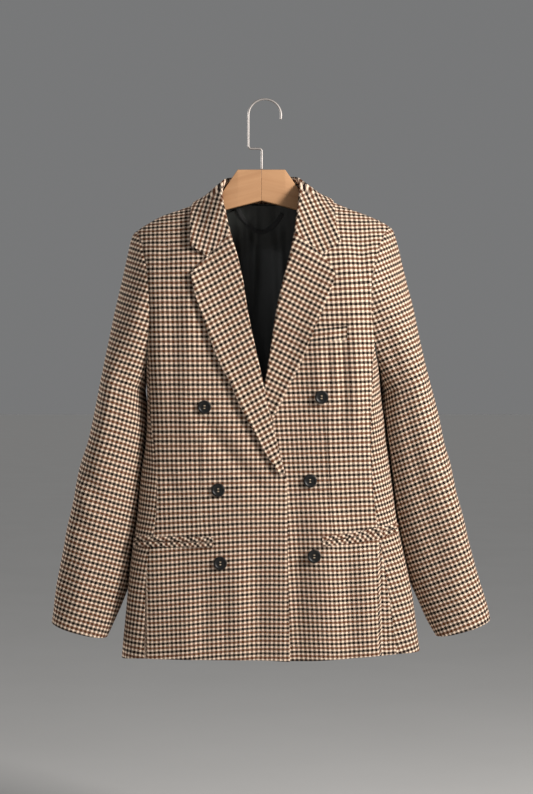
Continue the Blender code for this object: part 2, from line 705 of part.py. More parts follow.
def sleeve_rings(side):
    """Every ring of a sleeve, from the armhole to the cuff."""
    sign = SIDES[side]
    seam = armhole_ring(side)
    first_z = SLEEVE[side]["outer_z"].max()
    last_z = SLEEVE[side]["outer_z"].min()
    full = sleeve_ring(side, first_z)
    cosine = np.cos(ring_turns(float(read(SLEEVE[side], "front_seam", first_z, "outer_z"))))
    rings = []
    for share in (0, 0.08, 0.2, 0.38, 0.6, 0.8):
        ring = seam * (1 - share) + full * share
        if share > 0:
            bulge = SLEEVE_HEAD_BULGE * share**0.12 * (1 - share) ** 1.2
            ring[:, 0] += sign * bulge * np.clip(cosine, 0, 1) ** 0.8
        rings.append(ring)
    for outer_z in np.linspace(first_z, last_z, 10):
        rings.append(sleeve_ring(side, outer_z))
    rings = np.array(rings)
    rings[0, :, 0] += sign * SEAM_GAP
    return clear_of_body(rings, side, SLEEVE_CLEARANCE)


def sleeve(side):
    """A two piece sleeve: the top sleeve, and the under sleeve beside the body."""
    rings = sleeve_rings(side)
    normals = grid_normals(rings, around=True)
    outward = rings[8] - rings[8].mean(axis=0)
    if (normals[8] * outward).sum() < 0:
        normals = -normals
    normals[0] = normals[1]
    normals[0, :, 0] = SIDES[side] * np.minimum(SIDES[side] * normals[0, :, 0], 0)
    normals[0] = unit(normals[0])
    order = np.arange(BACK_SEAM_STEP, ROUND_STEPS + FRONT_SEAM_STEP + 1) % ROUND_STEPS
    wall(f"top_sleeve_{side}", rings[:, order], normals[:, order], CLOTH, "check")
    order = np.arange(FRONT_SEAM_STEP, BACK_SEAM_STEP + 1)
    wall(f"under_sleeve_{side}", rings[:, order], normals[:, order], CLOTH, "check")


# ---------------------------------------------------------------- lapels and collar


def lapel_lift(side, z):
    """Extra height of the left lapel where it passes over the breast welt."""
    return (0.9 if side == "left" else 0.0) * np.exp(-(((z + 367.0) / 38.0) ** 2))


def roll_frame(side):
    """Along a lapel's roll: its middle line, flat and on the body, and the ways out and off."""
    roll = roll_line(side, LAPEL_STEPS, 0.0)
    flat = roll_line(side, LAPEL_STEPS, ROLL_RADIUS)
    points, normals = front_surface(side, flat[:, 0], flat[:, 1])
    off = np.stack([flat[:, 0] - roll[:, 0], 0 * roll[:, 0], flat[:, 1] - roll[:, 1]], axis=1)
    off = unit(off - normals * (off * normals).sum(axis=1, keepdims=True))
    return flat, points, normals, off


def lapel(side):
    """The turned-out lapel, from inside the roll line to its outer edge."""
    edge = LAPEL_EDGE[side]
    edge = smooth(np.stack([edge["x"], edge["z"]], axis=1), LAPEL_STEPS)
    middle, points, normals, off = roll_frame(side)
    columns, squares = [], []
    for angle in np.radians([-90, -45, 0, 45]):
        square = normals * np.sin(angle) - off * np.cos(angle)
        columns.append(points + square * ROLL_RADIUS)
        squares.append(square)
    notch = np.array(COLLAR_NOTCH[side])
    near_end = np.linspace(1, 0, LAPEL_STEPS + 1)[:, None] ** 4
    for share in np.linspace(0, 1, FALL_STEPS + 1):
        flat = middle * (1 - share) + edge * share
        flat += near_end * (through_notch(middle[0], notch, edge[0], share) - flat[0])
        base, square = front_surface(side, flat[:, 0], flat[:, 1])
        height = ROLL_RADIUS + lapel_lift(side, flat[:, 1]) * min(1.0, 1.6 * share)
        columns.append(base + square * np.asarray(height).reshape(-1, 1))
        squares.append(square)
    grid = np.stack(columns, axis=1)
    wall(f"lapel_{side}", grid, np.stack(squares, axis=1), FOLDED_CLOTH, "check")


def through_notch(start, notch, end, share):
    """A place on the line from the fold to the notch and on to the outer corner."""
    first = start + (notch - start) * share / NOTCH_SHARE
    second = notch + (end - notch) * (share - NOTCH_SHARE) / (1 - NOTCH_SHARE)
    return first if share < NOTCH_SHARE else second


def body_samples():
    """Points of the shoulders and the chest, with their outward directions."""
    points, normals = [], []
    x = np.linspace(-135, 135, 136)
    for face in (FRONT, BACK):
        for down in np.linspace(0, 1, 60) ** 1.6:
            layer = body_points(x, shoulder_z(x) - 135.0 * down, face)
            points.append(layer)
            normals.append(body_normals(layer))
    return np.concatenate(points), np.concatenate(normals)


def beside_body(points, samples):
    """Each point's height over the body, and the outward direction there."""
    flat = points.reshape(-1, 3)
    apart = ((flat[:, None] - samples[0][None]) ** 2).sum(axis=-1)
    nearest = apart.argmin(axis=1)
    outward = samples[1][nearest]
    height = ((flat - samples[0][nearest]) * outward).sum(axis=1)
    return height.reshape(points.shape[:-1]), outward.reshape(points.shape)


def lifted(points, least, samples):
    """Points moved out until they are at least this high over the body.

    They move forward or back, and over the shoulder line also up and sideways.
    """
    for _ in range(3):
        height, outward = beside_body(points, samples)
        near_ridge = np.exp(-((points[..., 1:2] / RIDGE_REACH) ** 2))
        way = unit(outward * np.where(np.arange(3) == 1, 1.0, near_ridge))
        gain = (way * outward).sum(axis=-1)
        points = points + way * (np.clip(least - height, 0, None) / gain)[..., None]
    return points


def stand_seat(side, share, beyond, below):
    """Places of the stand's lower edge, just inside the neck seam."""
    back, front = back_neck_curve(side, 12), neckline_curve(side, 12)
    seam = join(
        body_points(back[:, 0], back[:, 1], BACK), body_points(front[:, 0], front[:, 1], FRONT)
    )
    seam = smooth(seam, 50)
    squares = body_normals(seam)
    inward = unit(SIDES[side] * np.cross(directions(seam, 0), squares))
    all_shares = np.linspace(0, 1, len(seam))
    parts = np.concatenate([seam, squares, inward], axis=1)
    parts = np.stack([np.interp(share, all_shares, part) for part in parts.T], axis=1)
    return parts[:, :3] - unit(parts[:, 3:6]) * below[:, None] + unit(parts[:, 6:]) * beyond[:, None]


def ridge_lift(points):
    """Least height of the collar's fall over the body, more where it bends over the shoulder."""
    return ROLL_RADIUS + RIDGE_LIFT * np.exp(-((points[..., 1] / RIDGE_REACH) ** 2))


def collar_sections(side, steps, samples):
    """Cross sections of half the collar, from the centre back to the gorge."""
    rows = COLLAR[side]
    lines = [rows[f"{part}_{axis}"] for part in ("roll", "edge") for axis in "xyz"]
    lines = smooth(np.stack([*lines, rows["seam"], rows["beyond"], rows["below"]], axis=1), steps)
    roll, edge = lines[:, :3], lines[:, 3:6]
    seat = stand_seat(side, lines[:, 6], lines[:, 7], lines[:, 8])
    edge = lifted(edge, ridge_lift(edge), samples)
    upward = unit(roll - (edge + seat) / 2)
    apart = beside_body(edge, samples)[1]
    for _ in range(4):
        apart[1:-1] = unit(apart[:-2] + 2 * apart[1:-1] + apart[2:])
    apart = unit(apart - upward * (apart * upward).sum(axis=1, keepdims=True))
    centre = lifted(roll - upward * ROLL_RADIUS, 0.0, samples)
    middle, points, normals, off = (part[0] for part in roll_frame(side))
    centre[-1], apart[-1], upward[-1] = points, normals, -off
    notch, corner = np.array(COLLAR_NOTCH[side]), np.array([rows["edge_x"][-1], rows["edge_z"][-1]])
    bend = [
        centre + (apart * np.cos(angle) + upward * np.sin(angle)) * ROLL_RADIUS
        for angle in np.radians([0, 45, 90, 135])
    ]
    stand = np.stack([*bend, seat], axis=1)
    stand = np.array([smooth(section, STAND_STEPS, 1.5)[::-1] for section in stand])
    near_end = np.linspace(0, 1, steps + 1)[:, None] ** 2.5
    fall = []
    for share in np.linspace(0, 1, FALL_STEPS + 1)[1:]:
        straight = bend[0] + (edge - bend[0]) * share
        flat = through_notch(middle, notch, corner, share)
        ended, square = front_surface(side, flat[:1], flat[1:])
        shaped = straight + near_end * (ended + square * ROLL_RADIUS - straight[-1])
        bulge = FALL_BULGE * 4 * share * (1 - share)
        shaped = shaped + apart * bulge * (1 - near_end)
        fall.append(lifted(shaped, ridge_lift(shaped), samples))
    return np.concatenate([stand, np.stack(fall, axis=1)], axis=1)


def collar():
    """The collar: a stand round the neck, a roll, and the fall over it."""
    steps = 16
    samples = body_samples()
    right = collar_sections("right", steps, samples)
    left = collar_sections("left", steps, samples)
    grid = np.concatenate([right[::-1], left[1:]])
    normals = grid_normals(grid)
    if normals[steps, -2, 1] < 0:
        normals = -normals
    for end, side in ((0, "right"), (-1, "left")):
        normals[end, :STAND_STEPS] = unit(grid[end, :STAND_STEPS] - roll_frame(side)[1][0])
        normals[end, STAND_STEPS:] = beside_body(grid[end, STAND_STEPS:], samples)[1]
    wall("collar", grid, normals, FOLDED_CLOTH, "check")


# ---------------------------------------------------------------- pockets


def strip_on_body(side, x, z_top, z_bottom, height, thickness, name):
    """A flat strip that follows a front and its side panel."""
    sign = SIDES[side]
    grids, squares = [], []
    for share in (0.0, 1.0):
        z = z_top * (1 - share) + z_bottom * share
        points = ring_points(ring_angle(x, z), z, sign)
        normals = body_normals(points)
        if side == "left":
            points = points - normals * under_inset(x, z)[:, None]
        grids.append(points + normals * height)
        squares.append(normals)
    wall(name, np.array(grids), np.array(squares), thickness, "check")


def hip_pockets():
    """The two jets of each hip pocket."""
    for side in SIDES:
        rows = POCKET[side]
        ends = ring_angle(rows["x"][[0, -1]], rows["split"][[0, -1]])
        angle = np.linspace(ends[0], ends[1], 17)
        x = ring_points(angle, np.full(len(angle), rows["split"][0]), SIDES[side])[:, 0]
        top, split, bottom = (read(rows, part, x, "x") for part in ("top", "split", "bottom"))
        height = JET_GAP + JET_CLOTH
        strip_on_body(side, x, top, split, height, JET_CLOTH, f"pocket_{side}_upper_jet")
        strip_on_body(side, x, split, bottom, height, JET_CLOTH, f"pocket_{side}_lower_jet")


def breast_welt():
    """The welt of the breast pocket on the left front."""
    x = np.linspace(WELT["x"].min(), WELT["x"].max(), 6)
    bottom = read(WELT, "bottom", x, "x")
    height = SEAM_GAP + JET_CLOTH
    strip_on_body("left", x, bottom + WELT_HEIGHT, bottom, height, JET_CLOTH, "breast_welt")


# ---------------------------------------------------------------- buttons


def button(name, side, x, z, thread):
    """A round button with a raised rim, lying on its front."""
    profile = np.array([
        (0.0, 0.0), (BUTTON_RADIUS - 1.6, 0.0), (BUTTON_RADIUS, 1.3), (BUTTON_RADIUS, 2.5),
        (BUTTON_RADIUS - 1.0, BUTTON_THICKNESS), (BUTTON_RADIUS - 2.2, BUTTON_THICKNESS),
        (BUTTON_RADIUS - 3.2, 2.7), (0.0, 2.5),
    ])
    points, normals = front_surface(side, np.array([x]), np.array([z]))
    square = normals[0]
    across = unit(np.cross(square, (0, 0, 1)))
    upright = np.cross(across, square)
    sides = 20
    turn = np.linspace(0, 2 * np.pi, sides, endpoint=False)
    around = np.cos(turn)[:, None] * across + np.sin(turn)[:, None] * upright
    seat = points[0] + square * thread
    rings = np.array([seat + square * high + around * wide for wide, high in profile[1:-1]])
    place = np.arange(len(rings) * sides).reshape(len(rings), sides)
    turned = np.roll(place, -1, axis=1)
    faces = list(
        zip(place[:-1].ravel(), turned[:-1].ravel(), turned[1:].ravel(), place[1:].ravel())
    )
    bottom_middle = len(rings) * sides
    faces += [(turned[0, i], place[0, i], bottom_middle) for i in range(sides)]
    faces += [(place[-1, i], turned[-1, i], bottom_middle + 1) for i in range(sides)]
    middles = [seat, seat + square * profile[-1][1]]
    add_object(name, np.concatenate([rings.reshape(-1, 3), middles]), faces, "button")


# ---------------------------------------------------------------- inside the neck


def back_lining():
    """The lining inside the backs, from the nape down to just above the hem."""
    share = np.linspace(-LINING_SHARE, LINING_SHARE, 13)
    top_x = share * LINING_TOP_WIDTH
    top_z = np.minimum(shoulder_z(top_x) - 30.0, NAPE_Z - 1.5)
    grid = []
    for down in np.linspace(0, 1, 13) ** 1.5:
        z = top_z * (1 - down) + LINING_HEM_Z * down
        x = share * half_width(share, z)
        x = top_x * (1 - down) ** 4 + x * (1 - (1 - down) ** 4)
        grid.append(body_points(x, z, BACK))
    grid = np.array(grid)
    normals = body_normals(grid)
    wall("lining_back", grid - normals * (CLOTH + LINING_GAP), normals, LINING_CLOTH, "lining")


def neck_tape():
    """A plain tape that hangs as a loop from the nape."""
    line = smooth(NECK_TAPE, 14)
    along = unit(np.gradient(line, axis=0))
    across = np.stack([-along[:, 1], along[:, 0]], axis=1)
    grid, squares = [], []
    for offset in (-TAPE_HALF_WIDTH, TAPE_HALF_WIDTH):
        place = line + across * offset
        points = body_points(place[:, 0], place[:, 1], BACK)
        normals = body_normals(points)
        inside = CLOTH + LINING_GAP + LINING_CLOTH + TAPE_GAP
        grid.append(points - normals * inside)
        squares.append(normals)
    wall("neck_tape", np.array(grid), np.array(squares), 1.0, "tape")


# ---------------------------------------------------------------- hanger


def under_cloth(x, y):
    """Height just below the cloth of the shoulders at a place."""
    share = np.clip(np.abs(y) / 50.0, 0, 1)
    drop = 1 - (1 - share**1.25) ** (1 / 1.6)
    outside = shoulder_z(x) - SHOULDER_DROP * drop
    slope = SHOULDER_DROP * 1.25 / 1.6 * np.maximum(share, 0.001) ** 0.25 / 50.0
    return outside - CLOTH * np.sqrt(1 + slope**2 + 0.25) - SEAM_GAP - 0.9


def hanger_half(side):
    """One half of the wooden hanger, from the middle seam to the end of its arm."""
    sign = SIDES[side]
    out = np.concatenate([[SEAM_GAP / 2, 18], HANGER["out"][1:4], np.linspace(72, 180, 14)])
    rings = []
    for distance in out:
        x = HANGER_CENTRE_X + sign * distance
        value = {name: float(np.interp(distance, HANGER["out"], HANGER[name])) for name in HANGER}
        deep = value["half_depth"]
        y = np.array([-deep + 2.0, -deep * 0.4, 0, deep * 0.4, deep - 2.0])
        plain = np.full(len(y), value["top"])
        if value["roof"] > 0:
            fitted = under_cloth(x, y)
            plain = plain * (1 - value["roof"]) + fitted * value["roof"]
        upper = np.stack([np.full(len(y), x), y, plain], axis=1)
        shoulder = min(plain[0], plain[-1]) - 2.5
        lower = np.array([
            (x, deep, shoulder), (x, deep, value["bottom"] + 2.5), (x, deep - 2.5, value["bottom"]),
            (x, -deep + 2.5, value["bottom"]), (x, -deep, value["bottom"] + 2.5), (x, -deep, shoulder),
        ])
        rings.append(np.concatenate([upper, lower]))
    loft(f"hanger_{side}_half", np.array(rings), "wood")


def arc(centre, radius, first, last, steps):
    """Points along a bend of the wire, as x and z, between two angles in degrees."""
    turn = np.radians(np.linspace(first, last, steps + 1))
    return np.array(centre) + radius * np.stack([np.cos(turn), np.sin(turn)], axis=1)


def hook():
    """The hook: a wire bend, a straight leg, a jog to the middle and a short shank."""
    corner = HOOK_CORNER_RADIUS
    leg_x = HOOK_BEND_X - HOOK_BEND_RADIUS
    end_z = HANGER_TOP_Z + SEAM_GAP + HOOK_WIRE_RADIUS
    flat = np.concatenate([
        arc((HOOK_BEND_X, HOOK_WIRE_RADIUS - HOOK_BEND_RADIUS), HOOK_BEND_RADIUS, -12, 180, 24),
        [(leg_x, -40.0), (leg_x, -56.0)],
        arc((leg_x + corner, HOOK_JOG_Z + corner), corner, 180, 270, 5),
        arc((HOOK_SHANK_X - corner, HOOK_JOG_Z - corner), corner, 90, 0, 5),
        [(HOOK_SHANK_X, -92.0), (HOOK_SHANK_X, end_z)],
    ])
    path = np.stack([flat[:, 0], 0 * flat[:, 0], flat[:, 1]], axis=1)
    tube("hanger_hook", path, HOOK_WIRE_RADIUS, 10, "steel")


# ---------------------------------------------------------------- the whole part

for old in list(bpy.data.objects):
    bpy.data.objects.remove(old, do_unlink=True)

FINISHES = {
    "check": material("check_suiting", (0.36, 0.25, 0.18), 0.85),
    "lining": material("satin_lining", (0.012, 0.014, 0.013), 0.4),
    "tape": material("black_tape", (0.01, 0.01, 0.01), 0.6),
    "button": material("black_button", (0.012, 0.012, 0.013), 0.35),
    "wood": material("beech", (0.52, 0.30, 0.16), 0.5),
    "steel": material("hook_steel", (0.55, 0.50, 0.47), 0.3, 1.0),
}

for wearer_side in SIDES:
    front_panel(wearer_side)
    side_panel(wearer_side)
    back_panel(wearer_side)
    sleeve(wearer_side)
    lapel(wearer_side)
    hanger_half(wearer_side)
collar()
breast_welt()
hip_pockets()
for button_name, place in BUTTON_PLACES.items():
    button(button_name, *place)
back_lining()
neck_tape()
hook()
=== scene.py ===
import math

import bpy
import numpy as np
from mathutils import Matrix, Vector, geometry


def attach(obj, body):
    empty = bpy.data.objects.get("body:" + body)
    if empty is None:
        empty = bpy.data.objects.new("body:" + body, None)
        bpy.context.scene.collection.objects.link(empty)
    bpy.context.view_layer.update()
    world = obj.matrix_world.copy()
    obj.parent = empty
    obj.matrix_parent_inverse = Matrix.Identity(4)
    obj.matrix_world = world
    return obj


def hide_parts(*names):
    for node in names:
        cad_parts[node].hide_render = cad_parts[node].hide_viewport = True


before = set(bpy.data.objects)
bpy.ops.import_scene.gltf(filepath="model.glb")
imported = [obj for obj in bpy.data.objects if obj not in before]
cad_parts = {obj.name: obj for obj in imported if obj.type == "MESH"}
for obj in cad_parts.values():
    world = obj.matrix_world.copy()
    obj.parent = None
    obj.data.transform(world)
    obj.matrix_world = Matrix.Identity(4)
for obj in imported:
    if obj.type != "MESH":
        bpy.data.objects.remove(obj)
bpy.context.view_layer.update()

# A double breasted blazer on a wooden hanger. Lengths are in millimetres until a mesh is
# made. +Z is up, the front faces -Y and +X is the wearer's left.
MM = 0.001

# ---------------------------------------------------------------- sizes of the frame

CLOTH = 1.8
FOLDED_CLOTH = 2.0
JET_CLOTH = 1.2
LINING_CLOTH = 1.0
TAPE_CLOTH = 0.8
SEAM_GAP = 0.3
JET_GAP = 0.7
LINING_GAP = 1.5
TAPE_GAP = 2.2
ROLL_RADIUS = 3.0

NAPE_Z = -156.5
NECK_POINT_X = 75.0
UNDERARM_Z = -424.0
ARMHOLE_JOIN_Z = -376.0
BREAK_Z = -588.0
FRONT_EDGE_MIDDLE_Z = -690.0
SHOULDER_DROP = 108.0
OVERLAP_INSET = 6.5

WELT_HEIGHT = 21.8

HOOK_WIRE_RADIUS = 1.7
HOOK_BEND_RADIUS = 25.3
HOOK_BEND_X = 1.2
HOOK_JOG_Z = -75.0
HOOK_CORNER_RADIUS = 4.5
HOOK_SHANK_X = -3.4
HANGER_CENTRE_X = -4.0
HANGER_TOP_Z = -108.1


def table(columns, *rows):
    """A table whose columns are read by name."""
    names = columns.split()
    return {name: np.array([row[i] for row in rows], float) for i, name in enumerate(names)}


# Level rings of the body: half widths to each side, depths in front and behind, and how
# square the ring is.
BODY = table(
    "z right left front back power",
    (-863, 221.5, 243.0, 56, 47, 3.0),
    (-812, 217.0, 236.0, 57, 47, 3.0),
    (-760, 212.0, 228.3, 58, 46, 3.0),
    (-696, 204.6, 215.2, 59, 45, 3.0),
    (-644, 196.0, 205.1, 59, 44, 3.1),
    (-593, 190.8, 198.7, 59, 44, 3.3),
    (-542, 185.0, 192.2, 60, 45, 3.6),
    (-503, 181.0, 187.0, 62, 47, 4.0),
    (-464, 180.0, 180.7, 65, 49, 4.4),
    (-424, 181.0, 178.0, 67, 51, 4.8),
    (-378, 183.5, 176.5, 68, 52, 5.0),
    (-315, 188.0, 177.0, 68, 52, 5.0),
    (-262, 196.0, 187.0, 67, 52, 5.0),
    (-205, 206.0, 204.0, 66, 52, 5.0),
    (-100, 206.0, 204.0, 66, 52, 5.0),
)
# The shoulder line, seen from the front.
SHOULDER = table(
    "x z",
    (-210, -212.0), (-202, -206.0), (-194, -200.0), (-179, -190.5), (-157, -178.8),
    (-134, -170.8), (-113, -163.2), (-75, -149.0), (-35, -131.0), (0, -119.0),
    (35, -129.5), (75, -145.5), (101, -155.0), (113, -160.0), (135, -169.0),
    (158, -177.5), (180, -187.0), (195, -196.0), (200, -200.5), (210, -208.0),
)
# The armhole's distance from the middle, on the fronts and on the backs.
ARMHOLE = table(
    "z right left right_back left_back",
    (-378, 177.5, 168.8, 176.5, 170.5),
    (-349, 175.0, 165.8, 177.0, 169.0),
    (-327, 174.3, 163.8, 177.5, 168.5),
    (-299, 175.6, 163.8, 179.0, 170.0),
    (-273, 178.1, 166.0, 181.0, 172.5),
    (-252, 181.6, 170.0, 184.0, 176.5),
    (-232, 186.2, 175.5, 187.5, 181.0),
    (-211, 193.0, 184.5, 193.0, 187.5),
    (-204, 196.3, 190.0, 196.3, 190.0),
    (-196, 196.3, 194.0, 196.3, 194.0),
)
ARMHOLE_TOP = {"right": -196.3, "left": 194.0}
# The seams beside the side panels: distances from the middle on the fronts, and shares of
# the half width on the backs.
SIDE_SEAM = table(
    "z right left back_share",
    (-863, 182.9, 204.0, 0.83),
    (-757, 181.4, 190.5, 0.82),
    (-705, 177.6, 182.0, 0.81),
    (-667, 168.5, 175.0, 0.80),
    (-617, 163.9, 168.5, 0.80),
    (-578, 163.7, 165.0, 0.81),
    (-541, 167.0, 163.5, 0.83),
    (-498, 174.0, 163.5, 0.86),
    (-430, 176.8, 165.5, 0.91),
    (-376, 177.3, 168.6, 0.96),
)
# The lapels seen from the front, as x and z: their roll lines and their outer edges.
LAPEL_ROLL = {
    "right": ((-49.9, -212.8), (-41.7, -239.1), (-31.9, -280.1), (-25.4, -321.2), (-18.7, -357.4),
              (-1.9, -434.1), (5.5, -470.8), (14.6, -507.6), (23.9, -544.3), (32.0, -575.0)),
    "left": ((45.3, -212.5), (38.8, -243.7), (30.4, -276.5), (20.7, -317.7), (15.0, -350.6),
             (1.9, -434.1), (-7.0, -471.0), (-16.0, -508.0), (-25.0, -544.0), (-33.0, -575.0)),
}
LAPEL_EDGE = {
    "right": ((-110.7, -273.5), (-106.4, -295.3), (-97.5, -326.4), (-87.7, -354.3), (-64.5, -414.5),
              (-53.2, -434.2), (-34.9, -476.4), (-16.5, -509.4), (1.9, -544.2), (23.5, -577.0)),
    "left": ((108.4, -271.8), (103.4, -290.5), (96.1, -309.3), (88.9, -328.1), (80.2, -348.4),
             (64.3, -387.6), (44.0, -434.1), (20.2, -480.0), (-1.0, -535.0), (-24.5, -577.0)),
}
NECKLINE = {
    "right": ((-71.5, -163.0), (-64.5, -183.0)),
    "left": ((68.5, -162.0), (60.0, -183.0)),
}
# The front edges' x at the break, half way down and at the hem.
FRONT_EDGE = {"right": (35.0, 36.2, 39.6), "left": (-36.0, -36.5, -38.0)}
# The collar from the centre back to the gorge: its roll, its outer edge, and its seat by
# share along the neck seam, beyond the seam and below it.
COLLAR = {
    "right": table(
        "roll_x roll_y roll_z edge_x edge_y edge_z seam beyond below",
        (0, 34, -112, 0, 38, -165, 0, 0.7, 1.6),
        (-24, 31, -113, -40, 35, -165.5, 0.165, 0.8, 1.4),
        (-43, 23, -116, -78, 24, -164.5, 0.33, 1.5, 0.8),
        (-57.5, 7, -121, -107, 4, -157, 0.483, 2.4, 0),
        (-63.5, -13, -133, -113, -15, -170, 0.545, 2.4, 0),
        (-63.5, -32, -151, -113.5, -33, -192, 0.63, 2.4, 0.7),
        (-58.5, -46, -175, -112.5, -48, -209, 0.775, 2.6, 1.8),
        (-49.9, -53, -212.8, -111.8, -56, -229.6, 1, 1.2, 2.9),
    ),
    "left": table(
        "roll_x roll_y roll_z edge_x edge_y edge_z seam beyond below",
        (0, 34, -112, 0, 38, -165, 0, 0.7, 1.6),
        (20, 31, -113, 38, 35, -165, 0.165, 0.8, 1.4),
        (37, 23, -115.5, 74, 24, -162, 0.33, 1.5, 0.8),
        (50, 7, -119, 103, 4, -153.5, 0.483, 2.4, 0),
        (53.5, -12, -131, 109, -15, -166.5, 0.545, 2.4, 0),
        (53.3, -31, -150, 109.5, -33, -188, 0.63, 2.4, 0.7),
        (50.0, -46, -175, 112.5, -48, -206, 0.775, 2.6, 1.8),
        (45.3, -53, -212.5, 116.8, -55, -224.5, 1, 1.2, 2.9),
    ),
}
COLLAR_NOTCH = {"right": np.array((-85.5, -248.3)), "left": np.array((88.2, -245.6))}
NOTCH_SHARE = 0.6
FALL_BULGE = 1.2
RIDGE_LIFT, RIDGE_REACH = 2.5, 12.0

# Rings of the sleeves from the cuff up: their outer and inner ends, half depth, place and
# twist in depth, and the angle of the front seam.
SLEEVE = {
    "right": table(
        "outer_z outer_x inner_x inner_z half_depth centre_y skew front_seam",
        (-808, -329.9, -243.0, -831.5, 33, 2, 3, 112),
        (-790, -326.9, -234.5, -812.5, 34, 3, 6, 106),
        (-755, -321.5, -219.5, -778.0, 36, 4, 12, 104),
        (-696, -308.8, -200.0, -721.0, 40, 6, 17, 110),
        (-632, -295.8, -188.0, -655.0, 45, 6, 19, 119),
        (-567, -283.0, -181.0, -588.0, 50, 5, 18, 128),
        (-494, -264.6, -178.0, -512.0, 55, 3, 14, 134),
        (-433, -252.2, -184.0, -450.0, 58, 1, 8, 135),
    ),
    "left": table(
        "outer_z outer_x inner_x inner_z half_depth centre_y skew front_seam",
        (-803, 351.1, 266.5, -829.5, 33, 2, 3, 124),
        (-785, 347.0, 254.5, -809.0, 34, 3, 6, 118),
        (-750, 335.8, 238.0, -772.0, 36, 4, 12, 108),
        (-696, 320.0, 216.0, -721.0, 40, 6, 17, 112),
        (-632, 303.5, 197.0, -655.0, 45, 6, 19, 128),
        (-567, 287.4, 184.0, -588.0, 50, 5, 18, 134),
        (-494, 271.3, 178.0, -512.0, 55, 3, 14, 136),
        (-433, 257.2, 182.0, -450.0, 58, 1, 8, 135),
    ),
}
BACK_SLEEVE_SEAM = 255.0
SLEEVE_HEAD_BULGE = 9.0
CUFF_FRONT_DROP = 4.0
SLEEVE_CLEARANCE = 2.5

HEM = table("x z", (-230, -863), (-182, -859.5), (-114, -860), (0, -861), (46, -862.5),
            (99, -860), (165, -855.5), (203, -853), (250, -851))
POCKET = {
    "right": table("x split top bottom", (-197.5, -680.6, -672.6, -688.6),
                   (-140, -680.6, -672.6, -688.6), (-77, -680.8, -672.8, -688.8)),
    "left": table("x split top bottom", (88.3, -679.4, -671.5, -686.9),
                  (130, -674.4, -667.6, -682.9), (168, -667.6, -659.5, -677.6),
                  (200, -662.0, -654.8, -667.6)),
}
WELT = table("x bottom", (60, -380.2), (72.8, -378.8), (125.6, -373.2))
# Each button's side, x, z and length of thread.
BUTTON_PLACES = {
    "button_1": ("right", -90.0, -474.9, 0.6),
    "button_2": ("right", -69.4, -601.2, 0.6),
    "button_3": ("right", -66.1, -712.2, 0.6),
    "button_4": ("left", 87.2, -460.2, 1.2),
    "button_5": ("left", 70.1, -587.4, 1.2),
    "button_6": ("left", 76.1, -701.6, 1.2),
}
# A half of the hanger, out from its middle. Where roof is 1, its top follows the cloth.
HANGER = table(
    "out top bottom half_depth roof",
    (0, -108.1, -156.5, 6.5, 0),
    (36.8, -108.1, -165.6, 6.2, 0),
    (58.4, -139.3, -171.2, 5.4, 0),
    (66, -150.3, -173.5, 4.8, 1),
    (110, -172.0, -190.0, 6.0, 1),
    (150, -187.0, -203.0, 5.8, 1),
    (180, -206.0, -214.0, 5.0, 1),
)
LINING_SHARE = 0.78
LINING_TOP_WIDTH = 190.0
LINING_HEM_Z = -838.0
NECK_TAPE = ((-44, -160), (-36.5, -173), (-26, -186), (-12.7, -196.5), (-2.5, -198),
             (12.5, -190), (22, -182), (30, -170))
TAPE_HALF_WIDTH = 3.0

SIDES = {"right": -1.0, "left": 1.0}
FRONT, BACK = -1.0, 1.0

# ---------------------------------------------------------------- smooth curves


def read(rows, column, at, key="z"):
    """A column's value at a place along the table, on a smooth curve through its rows."""
    order = np.argsort(rows[key])
    x, y = rows[key][order], rows[column][order]
    step = np.diff(x)
    slope = np.diff(y) / step
    tangent = np.empty_like(y)
    tangent[0], tangent[-1] = slope[0], slope[-1]
    before, after = slope[:-1], slope[1:]
    weight = 2.0 * (step[:-1] + step[1:])
    with np.errstate(divide="ignore", invalid="ignore"):
        mean = weight / ((step[:-1] + 2 * step[1:]) / before + (2 * step[:-1] + step[1:]) / after)
    tangent[1:-1] = np.where(before * after > 0, mean * 1.5, 0.0)
    at = np.clip(np.asarray(at, float), x[0], x[-1])
    i = np.clip(np.searchsorted(x, at, side="right") - 1, 0, len(x) - 2)
    h = step[i]
    t = (at - x[i]) / h
    return (
        y[i] * (1 + 2 * t) * (1 - t) ** 2
        + tangent[i] * h * t * (1 - t) ** 2
        + y[i + 1] * t * t * (3 - 2 * t)
        + tangent[i + 1] * h * t * t * (t - 1)
    )


def places(*parts):
    """Places, or cloth coordinates, from their parts."""
    return np.stack(np.broadcast_arrays(*parts), axis=-1)


def reach(grid, axis=0, from_end=False):
    """Each point's distance from one edge of its grid, along the grid."""
    total = np.cumsum(np.linalg.norm(np.diff(grid, axis=axis), axis=-1), axis=axis)
    total = np.concatenate([0 * np.take(total, [0], axis), total], axis=axis)
    return np.take(total, [-1], axis) - total if from_end else total


def smooth(points, count, crowding=1.0):
    """A smooth curve through the points, in even steps or crowded towards its start."""
    points = np.array(points, float)
    along = reach(points)
    rows = {"s": along, **dict(enumerate(points.T))}
    fine = np.linspace(0, along[-1], 40 * len(points))
    curve = places(*(read(rows, column, fine, "s") for column in range(points.shape[1])))
    length = reach(curve)
    wanted = length[-1] * np.linspace(0, 1, count + 1) ** crowding
    return places(*(np.interp(wanted, length, column) for column in curve.T))


def join(*curves):
    """Curves end to end, without their doubled points."""
    return np.concatenate([curves[0]] + [curve[1:] for curve in curves[1:]])


